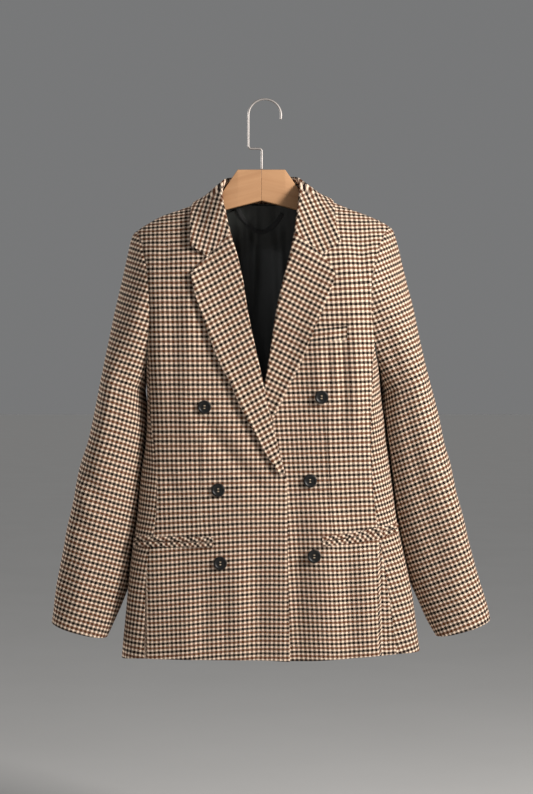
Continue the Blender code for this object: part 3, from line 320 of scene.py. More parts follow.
def patch(top, bottom, first, last):
    """A grid filled in between four edge curves: rows run from first to last."""
    v = np.linspace(0, 1, len(first))[:, None, None]
    u = np.linspace(0, 1, len(top))[None, :, None]
    ruled = (1 - v) * top[None] + v * bottom[None] + (1 - u) * first[:, None] + u * last[:, None]
    corners = (1 - v) * ((1 - u) * top[0] + u * top[-1]) + v * ((1 - u) * bottom[0] + u * bottom[-1])
    return ruled - corners


def unit(vectors):
    """The vectors at length one."""
    return vectors / np.maximum(np.linalg.norm(vectors, axis=-1, keepdims=True), 1e-12)


def ease(t):
    """From 0 to 1 with level ends."""
    t = np.clip(t, 0, 1)
    return t * t * (3 - 2 * t)


# ---------------------------------------------------------------- the body's surface


def half_width(x, z):
    """Half width of the body's ring at a height, on the side that x is on."""
    return np.where(np.asarray(x) < 0, read(BODY, "right", z), read(BODY, "left", z))


def shoulder_z(x):
    """Height of the shoulder line."""
    return read(SHOULDER, "z", x, "x")


def shoulder_round(x, z):
    """How much of its full depth the body has reached below the shoulder line."""
    drop = np.clip((shoulder_z(x) - z) / SHOULDER_DROP, 0, 1)
    return (1 - (1 - drop) ** 1.6) ** 0.8


def full_depth(y, z):
    """Depth of the body's ring at a height: in front where y is below 0, else behind."""
    return np.where(np.asarray(y) < 0, read(BODY, "front", z), read(BODY, "back", z))


def bow(share, power):
    """How full a ring still is at a share of the way out along its other axis."""
    share = np.clip(np.abs(share), 0, 1)
    return (1 - share**power) ** (1 / power)


def depth(x, z, face):
    """Distance of the body's front or back surface from the plane of the hanger."""
    bowed = bow(x / half_width(x, z), read(BODY, "power", z))
    return full_depth(face, z) * bowed * shoulder_round(x, z)


def body_points(x, z, face):
    """Points of the front or the back surface."""
    return places(x, face * depth(x, z, face), z)


def ring_points(angle, z, side):
    """Points of the body by angle: 0 is the side, plus is towards the front, in degrees."""
    power = read(BODY, "power", z)
    turn = np.radians(angle)
    x = side * half_width(side, z) * np.abs(np.cos(turn)) ** (2 / power)
    y = -np.sign(turn) * full_depth(-turn, z) * np.abs(np.sin(turn)) ** (2 / power)
    return places(x, y * shoulder_round(x, z), z)


def ring_angle(x, z):
    """The ring angle of a place on the front or back surface."""
    share = np.clip(np.abs(x) / half_width(x, z), 0, 1)
    return np.degrees(np.arccos(share ** (read(BODY, "power", z) / 2)))


def body_level(points):
    """Zero on the body's surface and growing outwards."""
    x, y, z = np.moveaxis(points, -1, 0)
    power = read(BODY, "power", z)
    sideways = (np.abs(x) / half_width(x, z)) ** power - 1
    return shoulder_round(x, z) ** power * sideways + (np.abs(y) / full_depth(y, z)) ** power


def body_normals(points):
    """Outward directions of the body's surface."""
    slopes = [body_level(points + step) - body_level(points - step) for step in 0.02 * np.eye(3)]
    x, z = points[..., 0], points[..., 2]
    on_ridge = (shoulder_z(x) - z < 0.6)[..., None]
    ridge = places(shoulder_z(x - 1) - shoulder_z(x + 1), 0, 2.0)
    return unit(np.where(on_ridge, ridge, places(*slopes)))


def under_inset(x, z):
    """How far the under front lies inside the body's surface where the fronts overlap."""
    return OVERLAP_INSET * ease((110.0 - x) / 74.0) * ease((-235.0 - z) / 175.0)


def surface(side, x, z, face=FRONT):
    """Points and outward directions of the outer surface of one front or back."""
    points = body_points(x, z, face)
    normals = body_normals(points)
    if face == FRONT and side == "left":
        points = points - normals * under_inset(x, z)[..., None]
    return points, normals


# ---------------------------------------------------------------- outlines shared by pieces

FINE = 6                     # steps of the shown cloth to one step of the frame's
ARMHOLE_STEPS = 8 * FINE
SEAM_STEPS = 13 * FINE
SHOULDER_CROWDING = 1.8


def armhole_curve(side, face):
    """The armhole from the shoulder seam down to the side panel, as x and z."""
    z = np.append(shoulder_z(ARMHOLE_TOP[side]), np.linspace(-214, ARMHOLE_JOIN_Z, 14))
    x = SIDES[side] * read(ARMHOLE, side if face == FRONT else f"{side}_back", z)
    x[0] = ARMHOLE_TOP[side]
    return smooth(places(x, z), ARMHOLE_STEPS, SHOULDER_CROWDING)


def hem_z(x):
    """Height of the hem."""
    return read(HEM, "z", x, "x")


def side_seam_curve(side, face):
    """The seam beside the side panel, from the armhole to the hem, as x and z."""
    z = np.linspace(ARMHOLE_JOIN_Z, -850, 24)
    if face == FRONT:
        x = SIDES[side] * read(SIDE_SEAM, side, z)
    else:
        x = SIDES[side] * read(SIDE_SEAM, "back_share", z) * half_width(SIDES[side], z)
    x[0] = armhole_curve(side, face)[-1][0]
    end = (x[-1] + (x[-1] - x[-2]) * 0.3, hem_z(x[-1]))
    return smooth([*places(x, z), end], SEAM_STEPS)


def roll_line(side, steps, distance):
    """The lapel's roll line, drawn back from its fold, as x and z."""
    curve = smooth(LAPEL_ROLL[side], steps)
    along = unit(np.gradient(curve, axis=0))
    away = places(along[:, 1], -along[:, 0])
    return curve + away * np.sign(away[:, :1]) * SIDES[side] * distance


def neckline_curve(side, steps):
    """The front neck seam, from the shoulder to the gorge, as x and z."""
    x = SIDES[side] * NECK_POINT_X
    last = roll_line(side, 9, ROLL_RADIUS + SEAM_GAP)[0]
    return smooth([(x, shoulder_z(x)), *NECKLINE[side], last], steps, SHOULDER_CROWDING)


def back_neck_curve(side, steps):
    """The back neck seam, from the centre to the shoulder, as x and z."""
    share = np.linspace(0, 1, steps + 1) ** 0.6
    x = SIDES[side] * NECK_POINT_X * share
    return places(x, NAPE_Z + (shoulder_z(x[-1]) - NAPE_Z) * share**8)


# ---------------------------------------------------------------- folds


def stroke(x, z, width, height, path):
    """A soft ridge, or a trough where height is below zero, along a path of x and z."""
    best = np.full(np.shape(x), 1e9)
    share = np.zeros(np.shape(x))
    path = np.array(path, float)
    lengths = np.linalg.norm(np.diff(path, axis=0), axis=1)
    total, done = lengths.sum(), 0.0
    for start, end, length in zip(path[:-1], path[1:], lengths):
        way = (end - start) / length
        along = (x - start[0]) * way[0] + (z - start[1]) * way[1]
        kept = np.clip(along, 0, length)
        apart = np.hypot(x - start[0] - way[0] * kept, z - start[1] - way[1] * kept)
        nearer = apart < best
        best = np.where(nearer, apart, best)
        share = np.where(nearer, (done + kept) / total, share)
        done += length
    fade = np.sin(np.pi * np.clip(0.06 + 0.88 * share, 0, 1)) ** 0.8
    return height * fade * np.exp(-((best / width) ** 2))


def waves(x, z, seed, size=1.0):
    """Slow unevenness of hung cloth, with no two places alike."""
    draw = np.random.default_rng(seed)
    total = np.zeros(np.shape(x))
    for length, height in ((190, 0.55), (120, 0.4), (75, 0.22), (48, 0.1)):
        for _ in range(3):
            turn, start = draw.uniform(0, 2 * np.pi, 2)
            phase = (x * np.cos(turn) + 0.55 * z * np.sin(turn)) * 2 * np.pi / length + start
            total = total + height * np.sin(phase)
    return size * total


# Each fold: width, height, then its path. Heights are outwards from the cloth.
FRONT_FOLDS = (
    (10, -4.6, ((-104, -478), (-70, -530), (-30, -575), (16, -616))),
    (12, 2.2, ((-78, -468), (-46, -520), (-6, -566))),
    (14, -4.1, ((-136, -290), (-138, -380), (-138, -460), (-132, -540))),
    (12, 2.4, ((-112, -250), (-112, -320), (-112, -400))),
    (12, -2.7, ((-156, -560), (-140, -600), (-118, -640))),
    (15, -4.9, ((-14, -690), (-10, -760), (-8, -820), (-10, -868))),
    (13, 3.2, ((34, -640), (32, -720), (32, -790), (32, -868))),
    (6, -2.0, ((-58, -745), (-60, -800), (-60, -868))),
    (17, 3.2, ((-42, -700), (-40, -780), (-38, -868))),
    (15, 3.0, ((-112, -735), (-118, -800), (-120, -868))),
    (11, -3.2, ((-88, -745), (-90, -800), (-92, -868))),
    (13, -4.1, ((48, -610), (50, -700), (50, -780), (50, -868))),
    (26, 5.7, ((88, -600), (90, -690), (92, -780), (92, -868))),
    (7, -3.5, ((97, -372), (98, -420), (98, -462))),
    (8, -4.9, ((119, -345), (120, -400), (121, -450), (118, -520))),
    (10, 3.2, ((136, -330), (139, -400), (140, -470), (138, -540))),
    (9, 2.2, ((84, -385), (82, -430), (84, -480))),
    (11, -3.5, ((126, -700), (128, -770), (132, -868))),
    (14, 4.6, ((152, -690), (156, -760), (162, -866))),
    (12, -2.7, ((182, -700), (188, -780), (194, -862))),
    (9, -2.2, ((62, -600), (100, -618), (146, -642))),
    (9, -1.9, ((-40, -640), (-80, -652), (-130, -668))),
    (10, -2.4, ((150, -212), (152, -250), (160, -310))),
    (12, 1.9, ((120, -200), (124, -260), (128, -320))),
    (10, -1.9, ((-150, -210), (-152, -250), (-158, -300))),
)
BACK_FOLDS = (
    (16, 2.4, ((-120, -260), (-124, -340), (-118, -430))),
    (14, -2.7, ((-96, -280), (-94, -360), (-84, -450), (-70, -520))),
    (16, 2.4, ((112, -250), (118, -330), (116, -420))),
    (14, -2.7, ((88, -290), (86, -370), (78, -450), (62, -530))),
    (11, -2.2, ((-150, -500), (-110, -540), (-60, -566))),
    (11, -1.9, ((150, -512), (104, -552), (52, -580))),
    (12, 1.6, ((-140, -540), (-100, -580), (-40, -604))),
    (20, 3.5, ((-110, -640), (-122, -740), (-130, -866))),
    (18, -3.5, ((-72, -620), (-80, -730), (-84, -866))),
    (22, 3.2, ((-34, -650), (-36, -750), (-34, -866))),
    (20, 3.5, ((104, -650), (118, -750), (128, -866))),
    (18, -3.2, ((66, -630), (76, -740), (80, -866))),
    (20, 2.7, ((30, -660), (34, -760), (36, -866))),
    (14, -1.6, ((-40, -190), (0, -205), (44, -190))),
)
SIDE_FOLDS = (
    (14, -1.6, ((-20, -640), (-6, -740), (-2, -866))),
    (16, 1.6, ((24, -660), (22, -760), (24, -866))),
    (12, -1.2, ((30, -480), (4, -530), (-26, -570))),
)
WAVE_SEEDS = {FRONT: 11, BACK: 12, "right side": 13, "left side": 14, "right": 15, "left": 16}
QUIET = 22.0                 # folds fade out over this distance from the armhole and side seams


def folded(height, x, z, folds):
    """The height with a list of folds added to it."""
    return sum((stroke(x, z, *fold) for fold in folds), height)


def body_folds(x, z, face):
    """Height of the folds on the fronts or the backs, which are quiet near the shoulder."""
    folds, share = (FRONT_FOLDS, 1.0) if face == FRONT else (BACK_FOLDS, 1.35)
    height = folded(waves(x, z, WAVE_SEEDS[face], 1.1), x, z, folds)
    return height * ease((shoulder_z(x) - z) / 60.0) * share


def side_folds(angle, z, side):
    """Height of the folds on a side panel, which are quiet near the underarm."""
    x = SIDES[side] * angle
    height = folded(waves(2.2 * x, z, WAVE_SEEDS[f"{side} side"], 0.6), x, z, SIDE_FOLDS)
    return height * ease((-430.0 - z) / 60.0)


SLEEVE_FOLDS = {
    ("right", FRONT): (
        (12, -2.7, ((-205, -360), (-214, -440), (-222, -520))),
        (13, 2.7, ((-228, -300), (-236, -400), (-244, -500), (-252, -580))),
        (11, -2.5, ((-276, -560), (-262, -600), (-246, -626))),
        (11, 2.2, ((-286, -590), (-268, -632), (-246, -654))),
        (10, -2.2, ((-292, -640), (-272, -668), (-252, -684))),
        (13, 2.0, ((-262, -690), (-276, -740), (-290, -800))),
        (11, -2.0, ((-286, -680), (-300, -730), (-310, -790))),
    ),
    ("left", FRONT): (
        (10, -5.0, ((186, -338), (200, -430), (222, -527), (244, -612))),
        (14, -4.1, ((228, -560), (246, -630), (262, -700), (272, -752))),
        (14, 3.4, ((214, -300), (226, -380), (240, -460), (252, -520))),
        (12, 3.1, ((206, -560), (222, -640), (236, -700))),
        (14, 2.7, ((272, -560), (290, -640), (304, -710))),
        (12, 2.2, ((290, -740), (304, -780), (314, -815))),
        (10, -2.0, ((204, -240), (214, -276), (232, -300))),
    ),
    ("right", BACK): (
        (12, -3.4, ((-282, -500), (-262, -560), (-238, -600))),
        (12, 3.1, ((-290, -540), (-268, -600), (-240, -636))),
        (12, -3.4, ((-300, -590), (-276, -640), (-246, -672))),
        (13, 2.7, ((-302, -650), (-282, -690), (-252, -716))),
        (13, 3.1, ((-214, -300), (-226, -390), (-236, -470))),
        (12, -3.1, ((-232, -290), (-246, -380), (-256, -450))),
    ),
    ("left", BACK): (
        (12, -3.7, ((288, -490), (266, -548), (240, -588))),
        (12, 3.1, ((296, -534), (274, -592), (244, -628))),
        (12, -3.4, ((306, -584), (282, -634), (254, -668))),
        (13, 2.7, ((310, -640), (290, -684), (260, -712))),
        (13, 3.1, ((214, -290), (226, -380), (238, -460))),
        (12, -3.1, ((234, -290), (248, -376), (258, -446))),
    ),
}


def sleeve_folds(points, normals, side):
    """Height of the folds on a sleeve, by the way that the cloth faces."""
    x, z = points[..., 0], points[..., 2]
    facing = ease(0.5 - 0.8 * normals[..., 1])
    height = waves(x, z, WAVE_SEEDS[side], 0.9)
    for face, share in ((FRONT, facing), (BACK, 1 - facing)):
        height = height + share * folded(0, x, z, SLEEVE_FOLDS[side, face])
    beside = ease(1.0 + SIDES[side] * normals[..., 0] * 1.6)
    return height * (0.15 + 0.85 * beside)


# ---------------------------------------------------------------- meshes


def new_object(name, points, faces, finishes, slots=None, maps=None, sharp=None):
    """An object from points in millimetres, with smooth faces and its cloth coordinates."""
    mesh = bpy.data.meshes.new(name)
    points = np.reshape(points, (-1, 3)) * MM
    mesh.vertices.add(len(points))
    mesh.vertices.foreach_set("co", points.ravel())
    corners = np.concatenate([np.ravel(block) for block in faces]).astype(np.int32)
    sizes = np.concatenate([np.full(len(block), block.shape[1]) for block in faces])
    mesh.loops.add(len(corners))
    mesh.loops.foreach_set("vertex_index", corners)
    mesh.polygons.add(len(sizes))
    mesh.polygons.foreach_set("loop_start", np.cumsum(sizes) - sizes)
    if slots is not None:
        mesh.polygons.foreach_set("material_index", slots)
    mesh.update(calc_edges=True)
    if maps is not None:
        flat = np.reshape(maps, (-1, 2))[corners] * MM
        mesh.uv_layers.new(name="Cloth").uv.foreach_set("vector", flat.astype(np.float32).ravel())
    mesh.shade_smooth()
    if sharp is not None:
        mesh.set_sharp_from_angle(angle=math.radians(sharp))
    for finish in finishes:
        mesh.materials.append(FINISH[finish])
    piece = bpy.data.objects.new(name, mesh)
    bpy.context.scene.collection.objects.link(piece)
    return piece


def stand_in(piece, node):
    """The piece rides on the root and stands for a node of the frame."""
    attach(piece, "root")
    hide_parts(node)


def grid_faces(place):
    """Quads between neighbouring points of a grid of point numbers."""
    a, b = place[:-1, :-1].ravel(), place[:-1, 1:].ravel()
    c, d = place[1:, 1:].ravel(), place[1:, :-1].ravel()
    return np.stack([a, b, c, d], axis=1)


def band(first, second):
    """Quads between two closed loops of point numbers."""
    return np.stack([np.roll(first, -1), first, second, np.roll(second, -1)], axis=1)


def tube_faces(count, sides, start=0, flipped=False):
    """Faces of a tube of rings: its quads, and a face over each end."""
    place = start + np.arange(count * sides).reshape(count, sides)
    quads = grid_faces(np.concatenate([place, place[:, :1]], axis=1))
    blocks = [quads, place[:1, ::-1], place[-1:]]
    return [block[:, ::-1] for block in blocks] if flipped else blocks


def circle(sides):
    """Corners of a circle of radius one."""
    turn = np.linspace(0, 2 * np.pi, sides, endpoint=False)
    return places(np.cos(turn), np.sin(turn))


EDGE_PLACES = (0.1, 0.27, 0.52)      # extra rows beside an edge, as shares of the first step
SEAM_GROOVE = 0.45           # how far the cloth sinks beside a seam
FOLD_RIDGE = 0.45            # how far it rises behind a folded edge


def between(grid, at, axis):
    """The grid's rows or columns at places between its own."""
    low = np.minimum(at.astype(int), grid.shape[axis] - 2)
    share = (at - low).reshape([-1 if i == axis else 1 for i in range(grid.ndim)])
    return np.take(grid, low, axis) * (1 - share) + np.take(grid, low + 1, axis) * share


def edged(grid):
    """The grid with extra rows and columns close to its four edges."""
    for axis in (0, 1):
        last = grid.shape[axis] - 1
        ends = np.array([0, *EDGE_PLACES])
        grid = between(grid, np.concatenate([ends, np.arange(1, last), last - ends[::-1]]), axis)
    return grid


def finer(grid, first, last, parts):
    """The grid with each step between two of its columns split into equal parts."""
    inside = first + np.arange((last - first) * parts) / parts
    at = np.concatenate([np.arange(first), inside, np.arange(last, grid.shape[1])])
    return between(grid, at, 1)


def rounded(distance, radius):
    """How far a rounded edge falls at a distance from its end."""
    d = np.clip(distance, 0, radius)
    return radius - np.sqrt(radius**2 - (radius - d) ** 2)


def joined(*parts):
    """Grids side by side, as one grid with all their numbers."""
    return np.concatenate(parts, axis=-1)


def sheet_of_cloth(node, grid, height, thickness, edges, turned=(),
                   slot="check_suiting"):
    """A thin shell of cloth with rounded edges, which stands for one node.

    The grid holds places, outward directions and cloth coordinates. edges gives the top,
    bottom, first and last edge: seam, hem or fold. Where turned gives distances from edges,
    the inner face is lined beyond them.
    """
    points, normals, maps = grid[..., :3], unit(grid[..., 3:6]), grid[..., 6:]
    reaches = [reach(points, axis, from_end) for axis in (0, 1) for from_end in (False, True)]
    outer_fall, inner_fall = np.zeros(points.shape[:2]), np.zeros(points.shape[:2])
    for distance, kind in zip(reaches, edges.split()):
        if kind == "seam":
            outer_fall = np.maximum(outer_fall, rounded(distance, 0.45 * thickness))
            outer_fall = outer_fall + SEAM_GROOVE * np.exp(-((distance / 4.0) ** 2))
        if kind == "hem":
            outer_fall = np.maximum(outer_fall, rounded(distance, 0.5 * thickness))
        if kind == "fold":
            outer_fall = np.maximum(outer_fall, rounded(distance / 1.9, 0.5 * thickness))
            outer_fall = outer_fall - FOLD_RIDGE * np.exp(-(((distance - 3.6) / 1.9) ** 2))
            inner_fall = np.maximum(inner_fall, rounded(distance, 0.5 * thickness) - 0.02)
    outer = points + normals * (height - outer_fall)[..., None]
    inner = points + normals * (height - thickness + inner_fall)[..., None]
    place = np.arange(outer_fall.size).reshape(outer_fall.shape)
    rim = np.concatenate([place[0, :-1], place[:-1, -1], place[-1, :0:-1], place[:0:-1, 0]])
    top = grid_faces(place)
    blocks = [top, top[:, ::-1] + place.size, band(rim, rim + place.size)]
    facing = np.cross(outer[1:, :-1] - outer[:-1, :-1], outer[:-1, 1:] - outer[:-1, :-1])
    if (facing * normals[:-1, :-1]).sum() > 0:
        blocks = [block[:, ::-1] for block in blocks]
    far = np.full(place.shape, bool(turned))
    for edge, width in turned:
        far &= reaches[edge] > width
    far = far[:-1, :-1] & far[1:, 1:]
    slots = np.concatenate([np.zeros(len(top)), far.ravel(), np.zeros(len(rim))]).astype(np.int32)
    finishes = [slot, "satin_lining"] if turned else [slot]
    piece = new_object(f"cloth_{node}", [outer, inner], blocks, finishes, slots, [maps, maps])
    stand_in(piece, node)


def directions(grid, axis, around=False):
    """Directions along a grid's rows or columns, halfway between those of their two steps."""
    grid = np.moveaxis(grid, axis, 0)
    steps = unit(np.diff(grid, axis=0))
    if around:
        closing = unit(grid[:1] - grid[-1:])
        before, after = np.concatenate([closing, steps]), np.concatenate([steps, closing])
    else:
        before, after = np.concatenate([steps[:1], steps]), np.concatenate([steps, steps[-1:]])
    return np.moveaxis(unit(before + after), 0, axis)


def grid_normals(grid, around=False):
    """Directions square to a grid: rows run down and columns run round it."""
    return unit(np.cross(directions(grid, 0), directions(grid, 1, around)))


# ---------------------------------------------------------------- materials


class Nodes:
    """A material whose nodes are made one call at a time."""

    def __init__(self, name):
        self.material = bpy.data.materials.new(name)
        self.material.use_nodes = True
        self.tree = self.material.node_tree
        self.shader = self.tree.nodes["Principled BSDF"]

    def feed(self, node, inputs):
        """Links or sets the inputs of a node."""
        for key, value in inputs.items():
            if isinstance(value, bpy.types.NodeSocket):
                self.tree.links.new(value, node.inputs[key])
            else:
                node.inputs[key].default_value = value

    def put(self, kind, inputs=(), **settings):
        """A node with its settings, and its inputs linked or set."""
        node = self.tree.nodes.new(kind)
        for key, value in settings.items():
            setattr(node, key, value)
        self.feed(node, dict(inputs))
        return node

    def cloth(self):
        """Cloth coordinates, as one socket and as two."""
        place = self.put("ShaderNodeUVMap", uv_map="Cloth").outputs[0]
        parts = self.put("ShaderNodeSeparateXYZ", {0: place}).outputs
        return place, parts[0], parts[1]

    def object_place(self):
        """Places in the object's own metres."""
        return self.put("ShaderNodeTexCoord").outputs["Object"]

    def stretched(self, place, across, down):
        """Places scaled by two numbers."""
        return self.put("ShaderNodeMapping", {"Vector": place, "Scale": (across, down, 1.0)}).outputs[0]

    def math(self, operation, *values):
        """One sum on numbers or sockets."""
        return self.put("ShaderNodeMath", enumerate(values), operation=operation).outputs[0]

    def times(self, first, second):
        """A product."""
        return self.math("MULTIPLY", first, second)

    def mix(self, share, first, second, blend="MIX"):
        """Two colours mixed by a share."""
        return self.put("ShaderNodeMix", {0: share, 6: first, 7: second}, data_type="RGBA",
                        blend_type=blend).outputs[2]

    def noise(self, place, scale, detail=2.0, roughness=0.5):
        """Noise at a place."""
        return self.put("ShaderNodeTexNoise", {"Vector": place, "Scale": scale, "Detail": detail,
                                               "Roughness": roughness}).outputs["Fac"]

    def range(self, value, low, high, to_low, to_high):
        """A value moved from one range to another and kept in it."""
        return self.put("ShaderNodeMapRange",
                        {0: value, 1: low, 2: high, 3: to_low, 4: to_high}).outputs[0]

    def spread(self, noise, low=0.0, high=1.0):
        """The middle of a noise spread over a range."""
        return self.range(noise, 0.3, 0.7, low, high)

    def bump(self, height, distance):
        """A bump from a height in metres at full white."""
        return self.put("ShaderNodeBump", {"Height": height, "Distance": distance}).outputs[0]

    def wire(self, **values):
        """The material, with values or links on its shader; underscores stand for spaces."""
        self.feed(self.shader, {key.replace("_", " "): value for key, value in values.items()})
        return self.material


CREAM = (0.84, 0.65, 0.495, 1)
UMBER = (0.020, 0.011, 0.008, 1)
BLACK = (0.012, 0.0065, 0.005, 1)
RUST = (0.10, 0.034, 0.014, 1)
STRIPE = 0.007               # one stripe and its ground, in metres
THREAD = STRIPE / 21


def check_material():
    """Suiting woven in a small check: dark stripes down it, black and rust ones across."""
    made = Nodes("check_suiting")
    place, across, down = made.cloth()
    bend = made.times(made.math("SUBTRACT", made.noise(place, 60.0), 0.5), 0.0009)
    across = made.math("ADD", across, bend)
    down = made.math("SUBTRACT", down, bend)

    def stripes(value, first, second):
        """Colour of the threads of one direction, and where they are dark."""
        turn = made.math("FRACT", made.math("DIVIDE", value, 2 * STRIPE))
        dark = made.math("LESS_THAN", made.math("FRACT", made.times(turn, 2.0)), 0.57)
        colour = made.mix(made.math("GREATER_THAN", turn, 0.5), first, second)
        return made.mix(dark, CREAM, colour), dark

    def crown(thread):
        """Height of the threads, round across each one."""
        return made.math("ABSOLUTE", made.math("SINE", made.times(thread, np.pi)))

    warp = stripes(across, UMBER, UMBER)[0]
    weft, crossed = stripes(down, BLACK, RUST)
    warp = made.mix(made.times(crossed, 0.7), warp, weft)
    ends, picks = made.math("DIVIDE", across, THREAD), made.math("DIVIDE", down, THREAD)
    step = made.math("SUBTRACT", made.math("FLOOR", ends), made.math("FLOOR", picks))
    over = made.math("LESS_THAN", made.math("FRACT", made.math("DIVIDE", step, 3.0)), 0.5)
    light = made.math("ADD", made.spread(made.noise(place, 1400.0, 1.0), 0.86, 1.1),
                      made.spread(made.noise(place, 9.0, 3.0), -0.04, 0.04))
    tint = made.put("ShaderNodeCombineColor", {0: light, 1: light, 2: light}).outputs[0]
    colour = made.mix(1.0, made.mix(over, weft, warp), tint, "MULTIPLY")
    high = made.put("ShaderNodeMix", {0: over, 2: crown(picks), 3: crown(ends)}).outputs[0]
    high = made.math("ADD", made.times(high, 0.6), made.times(made.noise(place, 500.0, 3.0, 0.6), 0.5))
    return made.wire(Base_Color=colour, Roughness=0.9, Specular_IOR_Level=0.05, Sheen_Weight=0.01,
                     Sheen_Roughness=0.5, Normal=made.bump(high, 0.00012))


def lining_material():
    """Black satin with a slight green cast and fine crosswise threads."""
    made = Nodes("satin_lining")
    place, _, down = made.cloth()
    thread = made.math("SINE", made.times(down, 2 * np.pi / 0.0004))
    colour = made.mix(made.spread(made.noise(place, 22.0, 3.0)), (0.006, 0.007, 0.006, 1),
                      (0.011, 0.013, 0.0105, 1))
    high = made.math("ADD", made.times(thread, 0.25), made.noise(place, 900.0))
    return made.wire(Base_Color=colour, Roughness=made.spread(made.noise(place, 240.0), 0.36, 0.46),
                     Specular_IOR_Level=0.5, Sheen_Weight=0.1, Normal=made.bump(high, 0.00005))


def tape_material():
    """Plain black woven tape with a rib across it, with painted shade: darker in the hollows between
    the ribs and lighter on their crests.
    """
    made = Nodes("black_tape")
    rib = made.math("SINE", made.times(made.cloth()[1], 2 * np.pi / 0.0007))
    # painted shade: the colour follows the rib's bump, darker in its hollows and lighter on its crests
    colour = made.mix(made.range(rib, -1.0, 1.0, 0.0, 1.0), (0.006, 0.006, 0.006, 1),
                      (0.016, 0.016, 0.016, 1))
    return made.wire(Base_Color=colour, Roughness=0.62, Normal=made.bump(rib, 0.00008))


def button_material():
    """Black polyester, softly shining, with faint turning marks."""
    made = Nodes("black_button")
    place = made.object_place()
    colour = made.mix(made.noise(place, 180.0, 4.0), (0.004, 0.004, 0.004, 1),
                      (0.007, 0.007, 0.0065, 1))
    fine = made.noise(place, 1500.0, 3.0)
    return made.wire(Base_Color=colour, Roughness=made.spread(fine, 0.36, 0.48),
                     Specular_IOR_Level=0.28, Normal=made.bump(fine, 0.00002))


def thread_material():
    """Twisted beige sewing thread, with painted shade: darker in the grooves of its twist and lighter
    on its crests.
    """
    made = Nodes("button_thread")
    twist = made.put("ShaderNodeTexWave", {"Vector": made.object_place(), "Scale": 900.0,
                                           "Distortion": 1.0}, bands_direction="DIAGONAL")
    twist = twist.outputs["Fac"]
    # painted shade: the colour follows the twist's bump, darker in its grooves and lighter on its
    # crests
    colour = made.mix(twist, (0.30, 0.21, 0.13, 1), (0.62, 0.50, 0.36, 1))
    return made.wire(Base_Color=colour, Roughness=0.75, Normal=made.bump(twist, 0.00008))


def beech_material():
    """Satin varnished beech: slanting grain, broad bands and small dark rays."""
    made = Nodes("beech")
    place = made.cloth()[0]
    grain = made.noise(made.stretched(place, 7.0, 130.0), 1.0, 5.0, 0.6)
    bands = made.noise(made.stretched(place, 2.4, 34.0), 1.0, 3.0)
    rays = made.range(made.noise(made.stretched(place, 260.0, 1500.0), 1.0), 0.66, 0.76, 0.0, 1.0)
    colour = made.mix(made.range(bands, 0.32, 0.68, 0.0, 1.0), (0.335, 0.165, 0.075, 1),
                      (0.47, 0.255, 0.125, 1))
    colour = made.mix(made.times(made.spread(grain), 0.45), colour, (0.52, 0.30, 0.155, 1))
    colour = made.mix(made.times(rays, 0.35), colour, (0.24, 0.11, 0.05, 1))
    high = made.math("ADD", made.times(grain, 0.6), made.times(rays, -0.4))
    return made.wire(Base_Color=colour, Roughness=made.spread(grain, 0.62, 0.74),
                     Specular_IOR_Level=0.3, Coat_Weight=0.05, Coat_Roughness=0.6,
                     Normal=made.bump(high, 0.00008))


def steel_material():
    """Bright nickel plated wire with drawing marks along it."""
    made = Nodes("hook_steel")
    place = made.cloth()[0]
    marks = made.noise(made.stretched(place, 40.0, 1600.0), 1.0, 3.0)
    colour = made.mix(made.noise(place, 120.0, 3.0), (0.36, 0.33, 0.31, 1), (0.48, 0.45, 0.43, 1))
    return made.wire(Base_Color=colour, Metallic=1.0, Roughness=made.spread(marks, 0.54, 0.64),
                     Normal=made.bump(marks, 0.00001))


def floor_material():
    """A matt pale floor, a little cloudy."""
    made = Nodes("pale_floor")
    colour = made.mix(made.noise(made.object_place(), 3.0, 4.0), (0.56, 0.555, 0.545, 1),
                      (0.60, 0.595, 0.585, 1))
    return made.wire(Base_Color=colour, Roughness=0.9, Specular_IOR_Level=0.0)


FINISH = {
    "check_suiting": check_material(),
    "satin_lining": lining_material(),
    "black_tape": tape_material(),
    "black_button": button_material(),
    "button_thread": thread_material(),
    "beech": beech_material(),
    "hook_steel": steel_material(),
    "pale_floor": floor_material(),
}

# ---------------------------------------------------------------- cloth coordinates

MAP_X, MAP_Z = np.arange(-250.0, 251.0), np.arange(-880.0, -99.0)       # places 1 mm apart
HELD_ROW = 480               # from z = -400 up, the slopes stay as they are in this row
HELD_COLUMNS = 82, 418       # and beyond x = -168 and 168, so do the distances down


def flat_map(face):
    """Distances over the body's surface: round it from the middle, and down it."""
    deep = depth(MAP_X[:, None], MAP_Z, face)
    lean = np.diff(deep, axis=0)
    lean[:, HELD_ROW:] = np.clip(lean[:, HELD_ROW : HELD_ROW + 1], -0.5, 0.5)
    across = np.cumsum(np.hypot(1.0, np.clip(lean, -0.9, 0.9)), axis=0)
    across = np.concatenate([0 * across[:1], across])
    across -= across[len(MAP_X) // 2]
    down = np.cumsum(np.hypot(1.0, np.clip(np.diff(deep, axis=1), -1.6, 1.6)), axis=1)
    down = np.concatenate([0 * down[:, :1], down], axis=1)
    down -= down[:, HELD_ROW : HELD_ROW + 1]
    down[:, HELD_ROW:] = down[np.clip(np.arange(len(MAP_X)), *HELD_COLUMNS), HELD_ROW:]
    return places(across, down)


BODY_MAPS = {FRONT: flat_map(FRONT), BACK: flat_map(BACK)}


def body_map(x, z, face):
    """Cloth coordinates of a place on the fronts or the backs."""
    values = BODY_MAPS[face]
    column = np.clip(x - MAP_X[0], 0, len(MAP_X) - 1.01)
    row = np.clip(z - MAP_Z[0], 0, len(MAP_Z) - 1.01)
    i, j = column.astype(int), row.astype(int)
    s, t = (column - i)[..., None], (row - j)[..., None]
    low = values[i, j] * (1 - s) + values[i + 1, j] * s
    high = values[i, j + 1] * (1 - s) + values[i + 1, j + 1] * s
    return low * (1 - t) + high * t


def slanted(x, z, degrees):
    """Distance along a direction that leans by an angle from x, away from z."""
    angle = math.radians(degrees)
    return x * math.cos(angle) - z * math.sin(angle)


